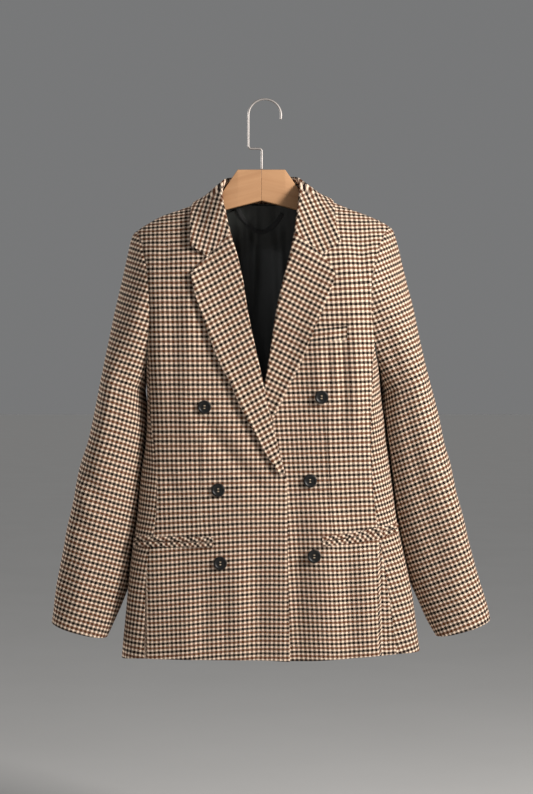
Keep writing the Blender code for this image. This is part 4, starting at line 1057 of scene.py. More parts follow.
def turned_map(x, z, warp, weft, wide=1.0, tall=1.0):
    """Cloth coordinates of a piece that is cut at an angle, from how its stripes lean."""
    return places(slanted(x, z, warp) * wide, slanted(x, z, weft) * tall)


CHECK_STEP = 7.0             # a stripe and its ground, as woven
SHOWN_STEP = 7.34, 7.28      # across and down at chest height, where the cloth is stretched
STEP_GROWTH = 0.0013, 0.0019


def hung_map(x, z, face, side):
    """Cloth coordinates of a front or back: the check closes up a little towards the hem."""
    across, down = np.moveaxis(body_map(x, z, face), -1, 0)
    across = across * CHECK_STEP / (SHOWN_STEP[0] + STEP_GROWTH[0] * down)
    down = CHECK_STEP / STEP_GROWTH[1] * np.log(1 + STEP_GROWTH[1] * down / SHOWN_STEP[1])
    if face == FRONT and side == "left":
        across = across + 0.075 * z
        down = down - 0.03 * x - 0.045 * ease((z + 350) / 90) * np.clip(x - 60, 0, None)
        down = down + 2.0 * np.exp(-(((x - 125) / 30) ** 2)) * ease((-600 - z) / 100)
    if face == FRONT and side == "right":
        rise = -20 * np.logaddexp(0, -(x + 20) / 20)
        down = down - 0.10 * ease((-470 - z) / 300) * rise
    return places(across, down)


# ---------------------------------------------------------------- fronts, sides and backs


SEAMED, HEMMED = "seam hem seam seam", "hem hem hem hem"
TURNED_HEM = (1, 36.0)       # the bottom edge, and how far the cloth is turned in there
TURNED_FRONT = (2, 62.0)     # the front edge, with its facing


DARTS = {
    "right": ((-97, -500), (-97, -590), (-98, -671)),
    "left": ((95.6, -478), (95.6, -526), (102.9, -636), (104.7, -667)),
}


def dart(side, x, z):
    """The dart below the chest: a pressed fold over a fine seam, as height and cloth taken in."""
    path = np.array(DARTS[side][::-1], float)
    beyond = x - np.interp(z, path[:, 1], path[:, 0])
    far = 1 / (1 + np.exp(-np.clip(beyond / 0.2, -30, 30)))
    share = np.clip((z - path[0, 1]) / (path[-1, 1] - path[0, 1]), 0, 1)
    present = np.sin(np.pi * share) ** 0.4
    height = present * (1.3 * far * np.exp(-np.clip(beyond, 0, None) / 7.0)
                        - 1.2 * np.exp(-((beyond / 0.7) ** 2)))
    return height, 2.6 * present * far * np.exp(-np.clip(beyond, 0, None) / 45.0)


def panel_grid(side, face, top, inner):
    """Flat grid of a front or back, between its shoulder, its edges and the hem."""
    outer = join(armhole_curve(side, face), side_seam_curve(side, face))
    hem_x = np.linspace(inner[-1][0], outer[-1][0], len(top))
    return patch(top, places(hem_x, hem_z(hem_x)), inner, outer)


def front_grid(side):
    """Flat grid of a front, from its edge to the side seam, and finer round its dart."""
    columns = 9 * FINE
    ridge_x = np.linspace(SIDES[side] * NECK_POINT_X, ARMHOLE_TOP[side], columns + 1)
    roll = roll_line(side, 9 * FINE, ROLL_RADIUS + SEAM_GAP)
    corner_x, waist_x, hem_x = FRONT_EDGE[side]
    edge = smooth([(corner_x, BREAK_Z), (waist_x, FRONT_EDGE_MIDDLE_Z), (hem_x, hem_z(hem_x))],
                  7 * FINE)
    gap = roll[-1] + (edge[0] - roll[-1]) * np.linspace(0, 1, FINE + 1)[1:-1, None]
    inner = np.concatenate([neckline_curve(side, 4 * FINE)[:-1], roll, gap, edge])
    flat = panel_grid(side, FRONT, places(ridge_x, shoulder_z(ridge_x)), inner)
    waist = np.abs(flat[:, columns // 2, 1] + 575).argmin()
    return finer(flat, *np.searchsorted(SIDES[side] * flat[waist, :, 0], (86.0, 110.0)), 6)


def back_grid(side):
    """Flat grid of a back, from the centre seam to the side seam."""
    neck = back_neck_curve(side, 5 * FINE)
    ridge_x = np.linspace(neck[-1][0], ARMHOLE_TOP[side], 6 * FINE + 1)
    centre = smooth([(0, NAPE_Z), (0, -500), (0, hem_z(0))], ARMHOLE_STEPS + SEAM_STEPS, 1.6)
    return panel_grid(side, BACK, join(neck, places(ridge_x, shoulder_z(ridge_x))), centre)


def hung_panel(side, face, grid, edges, turned):
    """One front or back, from the neck and shoulder seams to the hem."""
    x, z = np.moveaxis(edged(grid), -1, 0)
    points, normals = surface(side, x, z, face)
    maps = hung_map(x, z, face, side)
    height = body_folds(x, z, face) * ease(reach(points, 1, True) / QUIET)
    if face == FRONT:
        step, taken = dart(side, x, z)
        height = height + step
        maps = maps + taken[..., None] * (1, 0)
    node = f"{'front' if face == FRONT else 'back'}_{side}"
    sheet_of_cloth(node, joined(points, normals, maps), height, CLOTH, edges,
                   turned)


def front_panel(side):
    """One front, with its facing and hem turned in."""
    hung_panel(side, FRONT, front_grid(side), "seam hem hem seam",
               (TURNED_HEM, TURNED_FRONT))


def back_panel(side):
    """One back, with its hem turned in."""
    hung_panel(side, BACK, back_grid(side), SEAMED, (TURNED_HEM,))


def armhole_bottom(side):
    """The armhole's lowest stretch on the side panel, as ring angle and z."""
    front_angle, back_angle = (ring_angle(*armhole_curve(side, face)[-1]) for face in (FRONT, BACK))
    turn = np.linspace(0, np.pi, ARMHOLE_STEPS + 1)
    along = 0.3 * np.cos(turn) + 0.7 * (1 - turn / (np.pi / 2))
    angle = along * np.where(turn < np.pi / 2, front_angle, back_angle)
    return places(angle, ARMHOLE_JOIN_Z + (UNDERARM_Z - ARMHOLE_JOIN_Z) * np.sin(turn))


SIDE_LEAN = {"right": 0.10, "left": 0.21}      # how the weft rises towards the back


def side_panel(side):
    """The panel between a front and a back, from the underarm to the hem."""
    top = armhole_bottom(side)
    seams = []
    for face, corner in ((FRONT, top[0]), (BACK, top[-1])):
        x, z = side_seam_curve(side, face).T
        seams.append(places(-face * ring_angle(x, z), z))
        seams[-1][0] = corner
    first, last = seams
    turn = np.linspace(first[-1][0], last[-1][0], ARMHOLE_STEPS + 1)
    bottom = places(turn, hem_z(ring_points(turn, -860.0, SIDES[side])[:, 0]))
    bottom[0], bottom[-1] = first[-1], last[-1]
    angle, z = np.moveaxis(edged(patch(top, bottom, first, last)), -1, 0)
    points = ring_points(angle, z, SIDES[side])
    across, lean = reach(points, 1), SIDE_LEAN[side]
    maps = places(across + lean * z, z - lean * across)
    height = side_folds(angle, z, side)
    height = height * ease(across / QUIET) * ease(reach(points, 1, True) / QUIET)
    sheet_of_cloth(f"side_{side}", joined(points, body_normals(points), maps), height, CLOTH,
                   SEAMED,
                   (TURNED_HEM,))


# ---------------------------------------------------------------- sleeves


def armhole_ring(side):
    """The whole armhole seam, from the shoulder down the front and up the back."""
    front, back = (body_points(*armhole_curve(side, face).T, face) for face in (FRONT, BACK))
    bottom = ring_points(*armhole_bottom(side).T, SIDES[side])
    return np.concatenate([front, bottom[1:-1], back[:0:-1]])


FRONT_SEAM_STEP, BACK_SEAM_STEP, ROUND_STEPS = 9 * FINE, 17 * FINE, 24 * FINE


def ring_turns(front_seam):
    """Angles round a sleeve ring, with a point on each of its two seams."""
    stops = [0, FRONT_SEAM_STEP, BACK_SEAM_STEP, ROUND_STEPS]
    turns = [0, front_seam, BACK_SLEEVE_SEAM, 360]
    return np.radians(np.interp(np.arange(ROUND_STEPS), stops, turns))


def sleeve_ring(side, outer_z):
    """A whole ring of the sleeve below the armhole."""
    rows = SLEEVE[side]
    value = {name: float(read(rows, name, outer_z, "outer_z")) for name in rows}
    outer = np.array([value["outer_x"], value["centre_y"] - value["skew"], outer_z])
    inner = np.array([value["inner_x"], value["centre_y"] + value["skew"], value["inner_z"]])
    turn = ring_turns(value["front_seam"])
    cosine, sine = (np.sign(part) * np.abs(part) ** 0.92 for part in (np.cos(turn), np.sin(turn)))
    points = (outer + inner) / 2 + cosine[:, None] * (outer - inner) / 2
    points[:, 1] -= value["half_depth"] * sine
    points[:, 2] -= CUFF_FRONT_DROP * np.sin(turn)
    return points


def clear_of_body(points, side, clearance):
    """Points moved out sideways until they clear the body's side."""
    sign = SIDES[side]
    x, y, z = np.moveaxis(points, -1, 0)
    bowed = bow(y / (full_depth(y, z) + clearance), read(BODY, "power", z))
    far = (half_width(sign, z) + clearance) * bowed
    return places(np.where(z < UNDERARM_Z + 10, sign * np.maximum(sign * x, far), x), y, z)


HEAD_STEPS, ARM_STEPS = 60, 120


def sleeve_rings(side):
    """Every ring of a sleeve, from the armhole to the cuff."""
    sign = SIDES[side]
    seam = armhole_ring(side)
    first_z, last_z = SLEEVE[side]["outer_z"].max(), SLEEVE[side]["outer_z"].min()
    cosine = np.cos(ring_turns(float(read(SLEEVE[side], "front_seam", first_z, "outer_z"))))
    arm = [sleeve_ring(side, z) for z in np.linspace(first_z, last_z, ARM_STEPS + 1)]
    share = (np.linspace(0, 1, HEAD_STEPS + 1)[:-1] ** 1.35)[:, None]
    head = seam * (1 - share[..., None]) + arm[0] * share[..., None]
    bulge = SLEEVE_HEAD_BULGE * share**0.12 * (1 - share) ** 1.2 * (1 - np.exp(-share / 0.02))
    head[..., 0] += sign * bulge * np.clip(cosine, 0, 1) ** 0.8
    rings = np.concatenate([head, arm])
    rings[0, :, 0] += sign * SEAM_GAP
    rings = clear_of_body(rings, side, SLEEVE_CLEARANCE)
    rings[..., 0] -= 1.1 * body_normals(seam)[:, 0] * np.exp(-reach(rings) / 3.0)
    return rings


SLEEVE_AXIS = {"right": (-0.186, -0.9825), "left": (0.228, -0.9737)}    # x and z down the sleeve
SLEEVE_GRAIN = {"right": 7.0, "left": -9.0}       # degrees between the warp and the sleeve


def sleeve_map(rings, side, split):
    """Cloth coordinates of a sleeve: down its length, and round it each way from the crown."""
    down = rings[..., 0] * SLEEVE_AXIS[side][0] + rings[..., 2] * SLEEVE_AXIS[side][1]
    levels = np.arange(down.min(), down.max() + 2.0, 2.0)
    count = rings.shape[1]
    columns = np.stack([
        places(*(np.interp(levels, down[:, j], part) for part in rings[:, j].T))
        for j in range(count)], axis=1)
    around = reach(columns, 1)
    around[:, split:] -= around[:, -1:]
    crown = reach(columns[:, 0]) + np.clip(levels - down[-1, 0], 0, None)
    across = places(*(np.interp(down[:, j], levels, around[:, j]) for j in range(count)))
    along = places(*(np.interp(down[:, j], levels, crown) for j in range(count)))
    across *= -SIDES[side]
    grain = SLEEVE_GRAIN[side]
    return places(slanted(across, along, -grain), slanted(along, across, grain))


def sleeve(side):
    """A two piece sleeve: the top sleeve, and the under sleeve beside the body."""
    rings = sleeve_rings(side)
    normals = grid_normals(rings, around=True)
    middle = rings[100]
    if (normals[100] * (middle - middle.mean(axis=0))).sum() < 0:
        normals = -normals
    level = normals[1] * (0, 1, 1)
    level[:, 0] = np.where(np.linalg.norm(level, axis=1) < 0.3, -SIDES[side], 0)
    normals[0] = unit(level)
    closed = np.concatenate([rings, rings[:, :1]], axis=1)
    height = sleeve_folds(rings, normals, side) * ease(np.arange(len(rings)) / 14.0)[:, None]
    for name, first, last, split, flat, area in (
        ("top_sleeve", BACK_SEAM_STEP, ROUND_STEPS + FRONT_SEAM_STEP, BACK_SEAM_STEP,
         (0.25, 0.64), 0.118),
        ("under_sleeve", FRONT_SEAM_STEP, BACK_SEAM_STEP, ROUND_STEPS, (0.15, 0.44), 0.05),
    ):
        index = np.arange(first, last + 1) % ROUND_STEPS
        maps = sleeve_map(closed, side, split)
        grid = edged(joined(rings, normals, maps[:, :-1], height[..., None])[:, index])
        sheet_of_cloth(f"{name}_{side}", grid[..., :8], grid[..., 8], CLOTH, SEAMED,
                       (TURNED_HEM,))


# ---------------------------------------------------------------- lapels and collar

LAPEL_STEPS = 13 * FINE * 2
LAPEL_COLUMNS = 25           # steps from the fold to the edge, with one on the notch
EDGE_LIFT = 4.5              # how far the free edges stand off the fronts
WELT_LIFT = {"right": 0.0, "left": 0.9}        # and how far more the left one does over the welt
ROLL_STEPS = 78
LAPEL_GRAIN = {"right": (-23.9, 60.3, 0.94, 0.99), "left": (26.4, 117.5, 0.968, 0.963)}


def roll_frame(side, steps):
    """Along a lapel's roll: its middle line, flat and on the body, and the ways out and off."""
    flat = roll_line(side, steps, ROLL_RADIUS)
    points, normals = surface(side, *flat.T)
    x, z = (flat - roll_line(side, steps, 0.0)).T
    off = places(x, 0.0, z)
    off = unit(off - normals * (off * normals).sum(axis=1, keepdims=True))
    return flat, points, normals, off


def through_notch(start, notch, end, share):
    """A place on the line from the fold to the notch and on to the outer corner."""
    first = start + (notch - start) * share / NOTCH_SHARE
    second = notch + (end - notch) * (share - NOTCH_SHARE) / (1 - NOTCH_SHARE)
    return first if share < NOTCH_SHARE else second


def lapel(side):
    """The turned-out lapel, from inside the roll line to its outer edge."""
    grain = LAPEL_GRAIN[side]
    edge = smooth(LAPEL_EDGE[side], LAPEL_STEPS)
    middle, points, normals, off = roll_frame(side, LAPEL_STEPS)
    columns = []
    for angle in np.radians(np.linspace(-90, 75, 12)):
        square = normals * np.sin(angle) - off * np.cos(angle)
        turned = middle - off[:, [0, 2]] * (np.pi / 2 - angle) * ROLL_RADIUS
        columns.append(joined(points + square * ROLL_RADIUS, square, turned_map(*turned.T, *grain)))
    near_end = np.linspace(1, 0, LAPEL_STEPS + 1) ** 4
    for share in np.linspace(0, 1, LAPEL_COLUMNS + 1):
        flat = middle * (1 - share) + edge * share
        end = through_notch(middle[0], COLLAR_NOTCH[side], edge[0], share)
        flat += near_end[:, None] * (end - flat[0])
        x, z = flat.T
        base, square = surface(side, x, z)
        free = ease((z + 545) / 55) if side == "left" else 1.0
        over_welt = WELT_LIFT[side] * np.exp(-(((z + 367.0) / 38.0) ** 2))
        height = ROLL_RADIUS + over_welt * min(1.0, 1.6 * share)
        height = height + free * 1.5 * math.sin(math.pi * share) ** 2 * (1 - near_end)
        height = height + free * EDGE_LIFT * ease((share - 0.55) / 0.45)
        columns.append(joined(base + square * height[:, None], square, turned_map(x, z, *grain)))
    grid = edged(np.stack(columns, axis=1))
    height = body_folds(grid[..., 0], grid[..., 2], FRONT)
    height = height * ease((np.arange(grid.shape[1]) - 6) / 12.0)
    sheet_of_cloth(f"lapel_{side}", grid, height, FOLDED_CLOTH, "fold hem hem fold")


def body_samples():
    """Points of the shoulders and the chest, with their outward directions."""
    x = np.linspace(-135, 135, 136)
    z = shoulder_z(x) - 135.0 * (np.linspace(0, 1, 60) ** 1.6)[:, None]
    points = np.concatenate([body_points(x, z, face).reshape(-1, 3) for face in (FRONT, BACK)])
    return points, body_normals(points)


def beside_body(points, samples):
    """Each point's height over the body, and the outward direction there."""
    flat = points.reshape(-1, 3)
    apart = ((flat[:, None] - samples[0][None]) ** 2).sum(axis=-1)
    nearest = apart.argmin(axis=1)
    outward = samples[1][nearest]
    height = ((flat - samples[0][nearest]) * outward).sum(axis=1)
    return height.reshape(points.shape[:-1]), outward.reshape(points.shape)


def lifted(points, least, samples):
    """Points moved out until they are at least this high over the body."""
    for _ in range(3):
        height, outward = beside_body(points, samples)
        near_ridge = np.exp(-((points[..., 1:2] / RIDGE_REACH) ** 2))
        way = unit(outward * np.where(np.arange(3) == 1, 1.0, near_ridge))
        gain = (way * outward).sum(axis=-1)
        points = points + way * (np.clip(least - height, 0, None) / gain)[..., None]
    return points


def stand_seat(side, share, beyond, below):
    """Places of the stand's lower edge, just inside the neck seam."""
    seam = join(body_points(*back_neck_curve(side, 12).T, BACK),
                body_points(*neckline_curve(side, 12).T, FRONT))
    seam = smooth(seam, 50)
    squares = body_normals(seam)
    inward = unit(SIDES[side] * np.cross(directions(seam, 0), squares))
    shares = np.linspace(0, 1, len(seam))
    parts = places(*(np.interp(share, shares, part) for part in joined(seam, squares, inward).T))
    return parts[:, :3] - unit(parts[:, 3:6]) * below[:, None] + unit(parts[:, 6:]) * beyond[:, None]


def ridge_lift(points):
    """Least height of the collar's fall over the body, more where it bends over the shoulder."""
    return ROLL_RADIUS + RIDGE_LIFT * np.exp(-((points[..., 1] / RIDGE_REACH) ** 2))


COLLAR_STEPS = 16 * FINE
STAND_STEPS, FALL_STEPS = 16, 20


def collar_sections(side, steps, samples):
    """Cross sections of half the collar, from the centre back to the gorge."""
    rows = COLLAR[side]
    lines = smooth(places(*rows.values()), steps)
    roll, edge = lines[:, :3], lines[:, 3:6]
    seat = stand_seat(side, *lines[:, 6:].T)
    edge = lifted(edge, ridge_lift(edge), samples)
    upward = unit(roll - (edge + seat) / 2)
    apart = beside_body(edge, samples)[1]
    for _ in range(4 * FINE * FINE):
        apart[1:-1] = unit(apart[:-2] + 2 * apart[1:-1] + apart[2:])
    apart = unit(apart - upward * (apart * upward).sum(axis=1, keepdims=True))
    centre = lifted(roll - upward * ROLL_RADIUS, 0.0, samples)
    middle, points, normals, off = (part[0] for part in roll_frame(side, ROLL_STEPS))
    centre[-1], apart[-1], upward[-1] = points, normals, -off
    corner = np.array([rows["edge_x"][-1], rows["edge_z"][-1]])
    bend = [
        centre + (apart * np.cos(angle) + upward * np.sin(angle)) * ROLL_RADIUS
        for angle in np.radians(np.linspace(0, 135, 7))
    ]
    stand = [smooth(section, STAND_STEPS, 1.5)[::-1] for section in np.stack([*bend, seat], axis=1)]
    near_end = np.linspace(0, 1, steps + 1)[:, None] ** 2.5
    fall = []
    for share in np.linspace(0, 1, FALL_STEPS + 1)[1:]:
        straight = bend[0] + (edge - bend[0]) * share
        flat = through_notch(middle, COLLAR_NOTCH[side], corner, share)
        ended, square = surface(side, flat[:1], flat[1:])
        shaped = straight + near_end * (ended + square * ROLL_RADIUS - straight[-1])
        shaped = shaped + apart * (FALL_BULGE * 4 * share * (1 - share)) * (1 - near_end)
        ridge = np.exp(-((shaped[:, 1] / 30.0) ** 2))
        least = ridge_lift(shaped) + EDGE_LIFT * (1 - ridge) * ease((share - 0.55) / 0.45)
        fall.append(lifted(shaped, least, samples))
    return np.concatenate([stand, np.stack(fall, axis=1)], axis=1)


def softened(grid, times):
    """The grid with its inner points moved towards the middle of their neighbours."""
    for _ in range(times):
        inner = grid[1:-1, 1:-1]
        around = grid[:-2, 1:-1] + grid[2:, 1:-1] + grid[1:-1, :-2] + grid[1:-1, 2:]
        grid = grid.copy()
        grid[1:-1, 1:-1] = 0.5 * inner + 0.125 * around
    return grid


COLLAR_GRAIN = {"right": (104.9, 14.5, 0.90, 1.05), "left": (69.6, 156.0, 0.922, 1.031)}
SHOULDER_ROW = 50            # where the collar's cloth turns from the back to the front


def collar_map(grid, side):
    """Cloth coordinates of half the collar: round the neck behind, and cut at an angle in front."""
    along = reach(grid[:, STAND_STEPS + FALL_STEPS // 2])
    from_edge = reach(grid, 1, True)
    behind = places(0.92 * along[:, None], 0.935 * from_edge)
    ahead = turned_map(grid[..., 0], grid[..., 2], *COLLAR_GRAIN[side])
    turned = STAND_STEPS + 2
    start = ahead[:, turned : turned + 1]
    onward = 0.96 * unit(start - ahead[:, turned + 4 : turned + 5])
    rolled = (from_edge[:, :turned] - from_edge[:, turned : turned + 1])[..., None]
    ahead[:, :turned] = start + rolled * onward
    near = np.s_[SHOULDER_ROW - 4 : SHOULDER_ROW + 5, turned:]
    ahead = ahead - (ahead[near] - behind[near]).mean(axis=(0, 1))
    share = ease((np.arange(len(grid)) - SHOULDER_ROW + 10) / 22.0)[:, None, None]
    return behind * (1 - share) + ahead * share


def collar():
    """The collar: a stand round the neck, a roll, and the fall over it."""
    samples = body_samples()
    right, left = (collar_sections(side, COLLAR_STEPS, samples) for side in SIDES)
    grid = np.concatenate([right[::-1], left[1:]])
    for _ in range(20):
        grid[1:-1] = 0.5 * grid[1:-1] + 0.25 * (grid[:-2] + grid[2:])
    grid = softened(grid, 3)
    normals = grid_normals(grid)
    if normals[COLLAR_STEPS, -4, 1] < 0:
        normals = -normals
    for end, side in ((0, "right"), (-1, "left")):
        stand, fall = grid[end, :STAND_STEPS], grid[end, STAND_STEPS:]
        normals[end, :STAND_STEPS] = unit(stand - roll_frame(side, ROLL_STEPS)[1][0])
        normals[end, STAND_STEPS:] = beside_body(fall, samples)[1]
    maps = collar_map(grid[COLLAR_STEPS:], "left")
    other = collar_map(grid[COLLAR_STEPS::-1], "right") * (-1, 1)
    grid = edged(joined(grid, normals, np.concatenate([other[::-1], maps[1:]])))
    sheet_of_cloth("collar", grid, 0 * grid[..., 0], FOLDED_CLOTH, "fold fold hem fold")


# ---------------------------------------------------------------- pockets


def strip_on_body(node, side, x, z_top, z_bottom, height, bulge, maps_of):
    """A folded strip that follows a front and its side panel, rounded across."""
    share = np.linspace(0, 1, 9)[:, None]
    z = z_top * (1 - share) + z_bottom * share
    points = ring_points(ring_angle(x, z), z, SIDES[side])
    normals = body_normals(points)
    inset = under_inset(x, z) if side == "left" else 0.0
    raised = height + body_folds(x, z, FRONT) + bulge * np.sin(np.pi * share) ** 0.7 - inset
    grid = edged(joined(points + normals * raised[..., None], normals, maps_of(x, z)))
    sheet_of_cloth(node, grid, 0 * grid[..., 0], JET_CLOTH, HEMMED)


def hip_pockets():
    """The two jets of each hip pocket, cut on the cross."""
    for side, rows in POCKET.items():
        ends = ring_angle(rows["x"][[0, -1]], rows["split"][[0, -1]])
        x = ring_points(np.linspace(*ends, 97), rows["split"][0], SIDES[side])[:, 0]
        top, split, bottom = (read(rows, part, x, "x") for part in ("top", "split", "bottom"))
        for name, upper, lower, lean in (("upper", top, split + 0.6, 24.0),
                                         ("lower", split - 0.6, bottom, 38.0)):
            strip_on_body(f"pocket_{side}_{name}_jet", side, x, upper - 0.15, lower + 0.15,
                          JET_GAP + JET_CLOTH - 0.3, 1.5,
                          lambda x, z, lean=lean: turned_map(1.25 * x, z, lean, 90.0 + lean))


def breast_welt():
    """The welt of the breast pocket on the left front."""
    x = np.linspace(WELT["x"].min(), WELT["x"].max(), 31)
    bottom = read(WELT, "bottom", x, "x")
    strip_on_body("breast_welt", "left", x, bottom + WELT_HEIGHT, bottom, SEAM_GAP + JET_CLOTH,
                  0.35, lambda x, z: turned_map(x, z, 0.0, 83.5) + (2.5, 0))


# ---------------------------------------------------------------- buttons

HOLE_RADIUS, HOLE_SIDES = 0.75, 14
HOLE_X, HOLE_Z = 1.15, 1.95
HOLE_PLACES = ((-HOLE_X, -HOLE_Z), (HOLE_X, -HOLE_Z), (-HOLE_X, HOLE_Z), (HOLE_X, HOLE_Z))
DISH_RADIUS, DISH_HEIGHT, BUTTON_SIDES = 3.8, 2.35, 48
BUTTON_PROFILE = (           # radius and height, from the dish over the rim to the underside
    (5.6, 2.42), (6.5, 2.62), (7.2, 3.1), (7.7, 3.45), (8.3, 3.6), (8.9, 3.58), (9.5, 3.35),
    (9.95, 2.9), (10.2, 2.3), (10.25, 1.8), (10.15, 1.2), (9.8, 0.6), (9.2, 0.2), (8.4, 0.0),
)


def button_dish():
    """The flat middle of a button: its corners, its faces, and loops round it and its holes."""
    outlines = [DISH_RADIUS * circle(BUTTON_SIDES)]
    outlines += [HOLE_RADIUS * circle(HOLE_SIDES) + place for place in HOLE_PLACES]
    loops, edges, corners = [], [], []
    for outline in outlines:
        loop = len(corners) + np.arange(len(outline))
        loops.append(loop)
        edges += zip(loop.tolist(), np.roll(loop, -1).tolist())
        corners += [Vector(corner) for corner in outline]
    cut = geometry.delaunay_2d_cdt(corners, edges, [], 0, 1e-5)
    flat = np.array([tuple(corner) for corner in cut[0]])
    apart = [
        min(np.hypot(*(flat[list(face)].mean(axis=0) - place)) for place in HOLE_PLACES)
        for face in cut[2]
    ]
    return flat, np.array(cut[2])[np.array(apart) > HOLE_RADIUS], loops


def button_shape():
    """Corners and faces of a round button with a raised rim and four holes."""
    flat, faces, loops = button_dish()
    base = len(flat)
    rings = [places(*(wide * circle(BUTTON_SIDES)).T, high) for wide, high in BUTTON_PROFILE]
    corners = np.concatenate([places(*flat.T, DISH_HEIGHT), places(*flat.T, 0.0), *rings])
    numbers = 2 * base + np.arange(len(rings) * BUTTON_SIDES).reshape(-1, BUTTON_SIDES)
    chain = [loops[0], *numbers, loops[0] + base]
    walls = [band(first, second) for first, second in zip(chain, chain[1:])]
    walls += [band(loop, loop + base) for loop in loops[1:]]
    return corners, [faces, faces[:, ::-1] + base, *walls]


def thread_shape(lift):
    """Corners and faces of a button's thread: strands over its dish, and two posts below it."""
    s = np.linspace(-1, 1, 13)
    paths = []
    for z in (-HOLE_Z, HOLE_Z):
        for strand in (-0.45, 0.0, 0.45):
            path = places(HOLE_X * s, z + strand, DISH_HEIGHT + 0.75 * (1 - s**6))
            path[[0, -1], 2] = 0.6
            paths.append((path, 0.27))
    paths += [(places(x, 0.0, np.linspace(-lift - 0.6, 0.3, 4)), 0.5) for x in (-0.5, 0.5)]
    corners, faces, count = [], [], 0
    for path, radius in paths:
        way = unit(np.gradient(path, axis=0))
        first = unit(np.cross(way, (0.0, 1.0, 0.0)))[:, None]
        cosine, sine = radius * circle(8).T[..., None]
        tube = path[:, None] + cosine * first + sine * np.cross(way[:, None], first)
        corners.append(tube.reshape(-1, 3))
        faces += tube_faces(len(path), 8, count)
        count += len(corners[-1])
    return np.concatenate(corners), faces


def buttons():
    """The six buttons, each square to the cloth and held by its thread."""
    shape = button_shape()
    for node, (side, x, z, thread) in BUTTON_PLACES.items():
        x, z = np.array([x]), np.array([z])
        points, normals = surface(side, x, z)
        square = normals[0]
        across = unit(np.cross(square, (0, 0, 1)))
        own = np.array([across, np.cross(across, square), square])
        lift = thread + body_folds(x, z, FRONT)[0]
        made = []
        for name, (corners, faces), finish, sharp in (
            ("detailed", shape, "black_button", 40),
            ("thread", thread_shape(lift), "button_thread", 60),
        ):
            corners = points[0] + square * lift + corners @ own
            made.append(new_object(f"{name}_{node}", corners, faces, [finish], sharp=sharp))
        stand_in(made[0], node)
        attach(made[1], "root")


# ---------------------------------------------------------------- inside the neck

LINING_FOLDS = (
    (9, -3.2, ((-40, -150), (-36, -230), (-30, -320), (-26, -420))),
    (8, -2.6, ((-14, -150), (-16, -230), (-18, -330))),
    (9, -3.0, ((20, -150), (26, -240), (30, -340), (30, -430))),
    (8, -2.4, ((46, -160), (52, -250), (56, -340))),
    (8, -2.2, ((-70, -170), (-62, -260), (-54, -360))),
    (10, -2.0, ((4, -300), (6, -420), (2, -560))),
    (14, -2.5, ((-60, -480), (-66, -640), (-70, -820))),
    (14, -2.5, ((64, -460), (70, -620), (78, -820))),
)


def lining_folds(x, z):
    """Height of the folds of the lining, which lies inside the folds of the backs."""
    folds = body_folds(x, z, BACK)
    height = np.where(folds < 0, folds, 0.6 * folds) - 0.5 * np.abs(waves(1.6 * x, 0.5 * z, 21, 0.9))
    return np.minimum(folded(height, x, z, LINING_FOLDS), 0.9)


def back_lining():
    """The lining inside the backs, in soft folds from the nape to just above the hem."""
    share = np.linspace(-LINING_SHARE, LINING_SHARE, 121)
    top_x = share * LINING_TOP_WIDTH
    top_z = np.minimum(shoulder_z(top_x) - 30.0, NAPE_Z - 1.5)
    down = (np.linspace(0, 1, 201) ** 1.35)[:, None]
    z = top_z * (1 - down) + LINING_HEM_Z * down
    x = top_x * (1 - down) ** 4 + share * half_width(share, z) * (1 - (1 - down) ** 4)
    grid = edged(body_points(x, z, BACK))
    normals = body_normals(grid)
    x, z = grid[..., 0], grid[..., 2]
    inside = grid - normals * (CLOTH + LINING_GAP)
    sheet_of_cloth("lining_back", joined(inside, normals, body_map(x, z, BACK)),
                   lining_folds(x, z), LINING_CLOTH, HEMMED,
                   slot="satin_lining")


def neck_tape():
    """A plain tape that hangs as a loop from the nape."""
    line = smooth(NECK_TAPE, 60)
    along = unit(np.gradient(line, axis=0))
    across = TAPE_HALF_WIDTH * np.linspace(-1, 1, 9)[:, None]
    x, z = line[:, 0] - along[:, 1] * across, line[:, 1] + along[:, 0] * across
    points = body_points(x, z, BACK)
    normals = body_normals(points)
    inside = CLOTH + LINING_GAP + LINING_CLOTH + TAPE_GAP + 0.6 - lining_folds(x, z)
    maps = places(np.linspace(0, 96, 61), across)
    grid = edged(joined(points - normals * inside[..., None], -normals, maps))
    sheet_of_cloth("neck_tape", grid, 0.25 * np.sin(grid[..., 6] / 7.0), TAPE_CLOTH, HEMMED,
                   slot="black_tape")


# ---------------------------------------------------------------- hanger


def under_cloth(x, y):
    """Height just below the cloth of the shoulders at a place."""
    share = np.clip(np.abs(y) / 50.0, 0, 1)
    drop = 1 - (1 - share**1.25) ** (1 / 1.6)
    outside = shoulder_z(x) - SHOULDER_DROP * drop
    slope = SHOULDER_DROP * 1.25 / 1.6 * np.maximum(share, 0.001) ** 0.25 / 50.0
    return outside - CLOTH * np.sqrt(1 + slope**2 + 0.25) - SEAM_GAP - 0.9


GRAIN_SLOPE = {"right": 14.0, "left": -12.0}
HANGER_ROUND = 2.0           # radius of the hanger's long edges
HANGER_REACH = 180.0


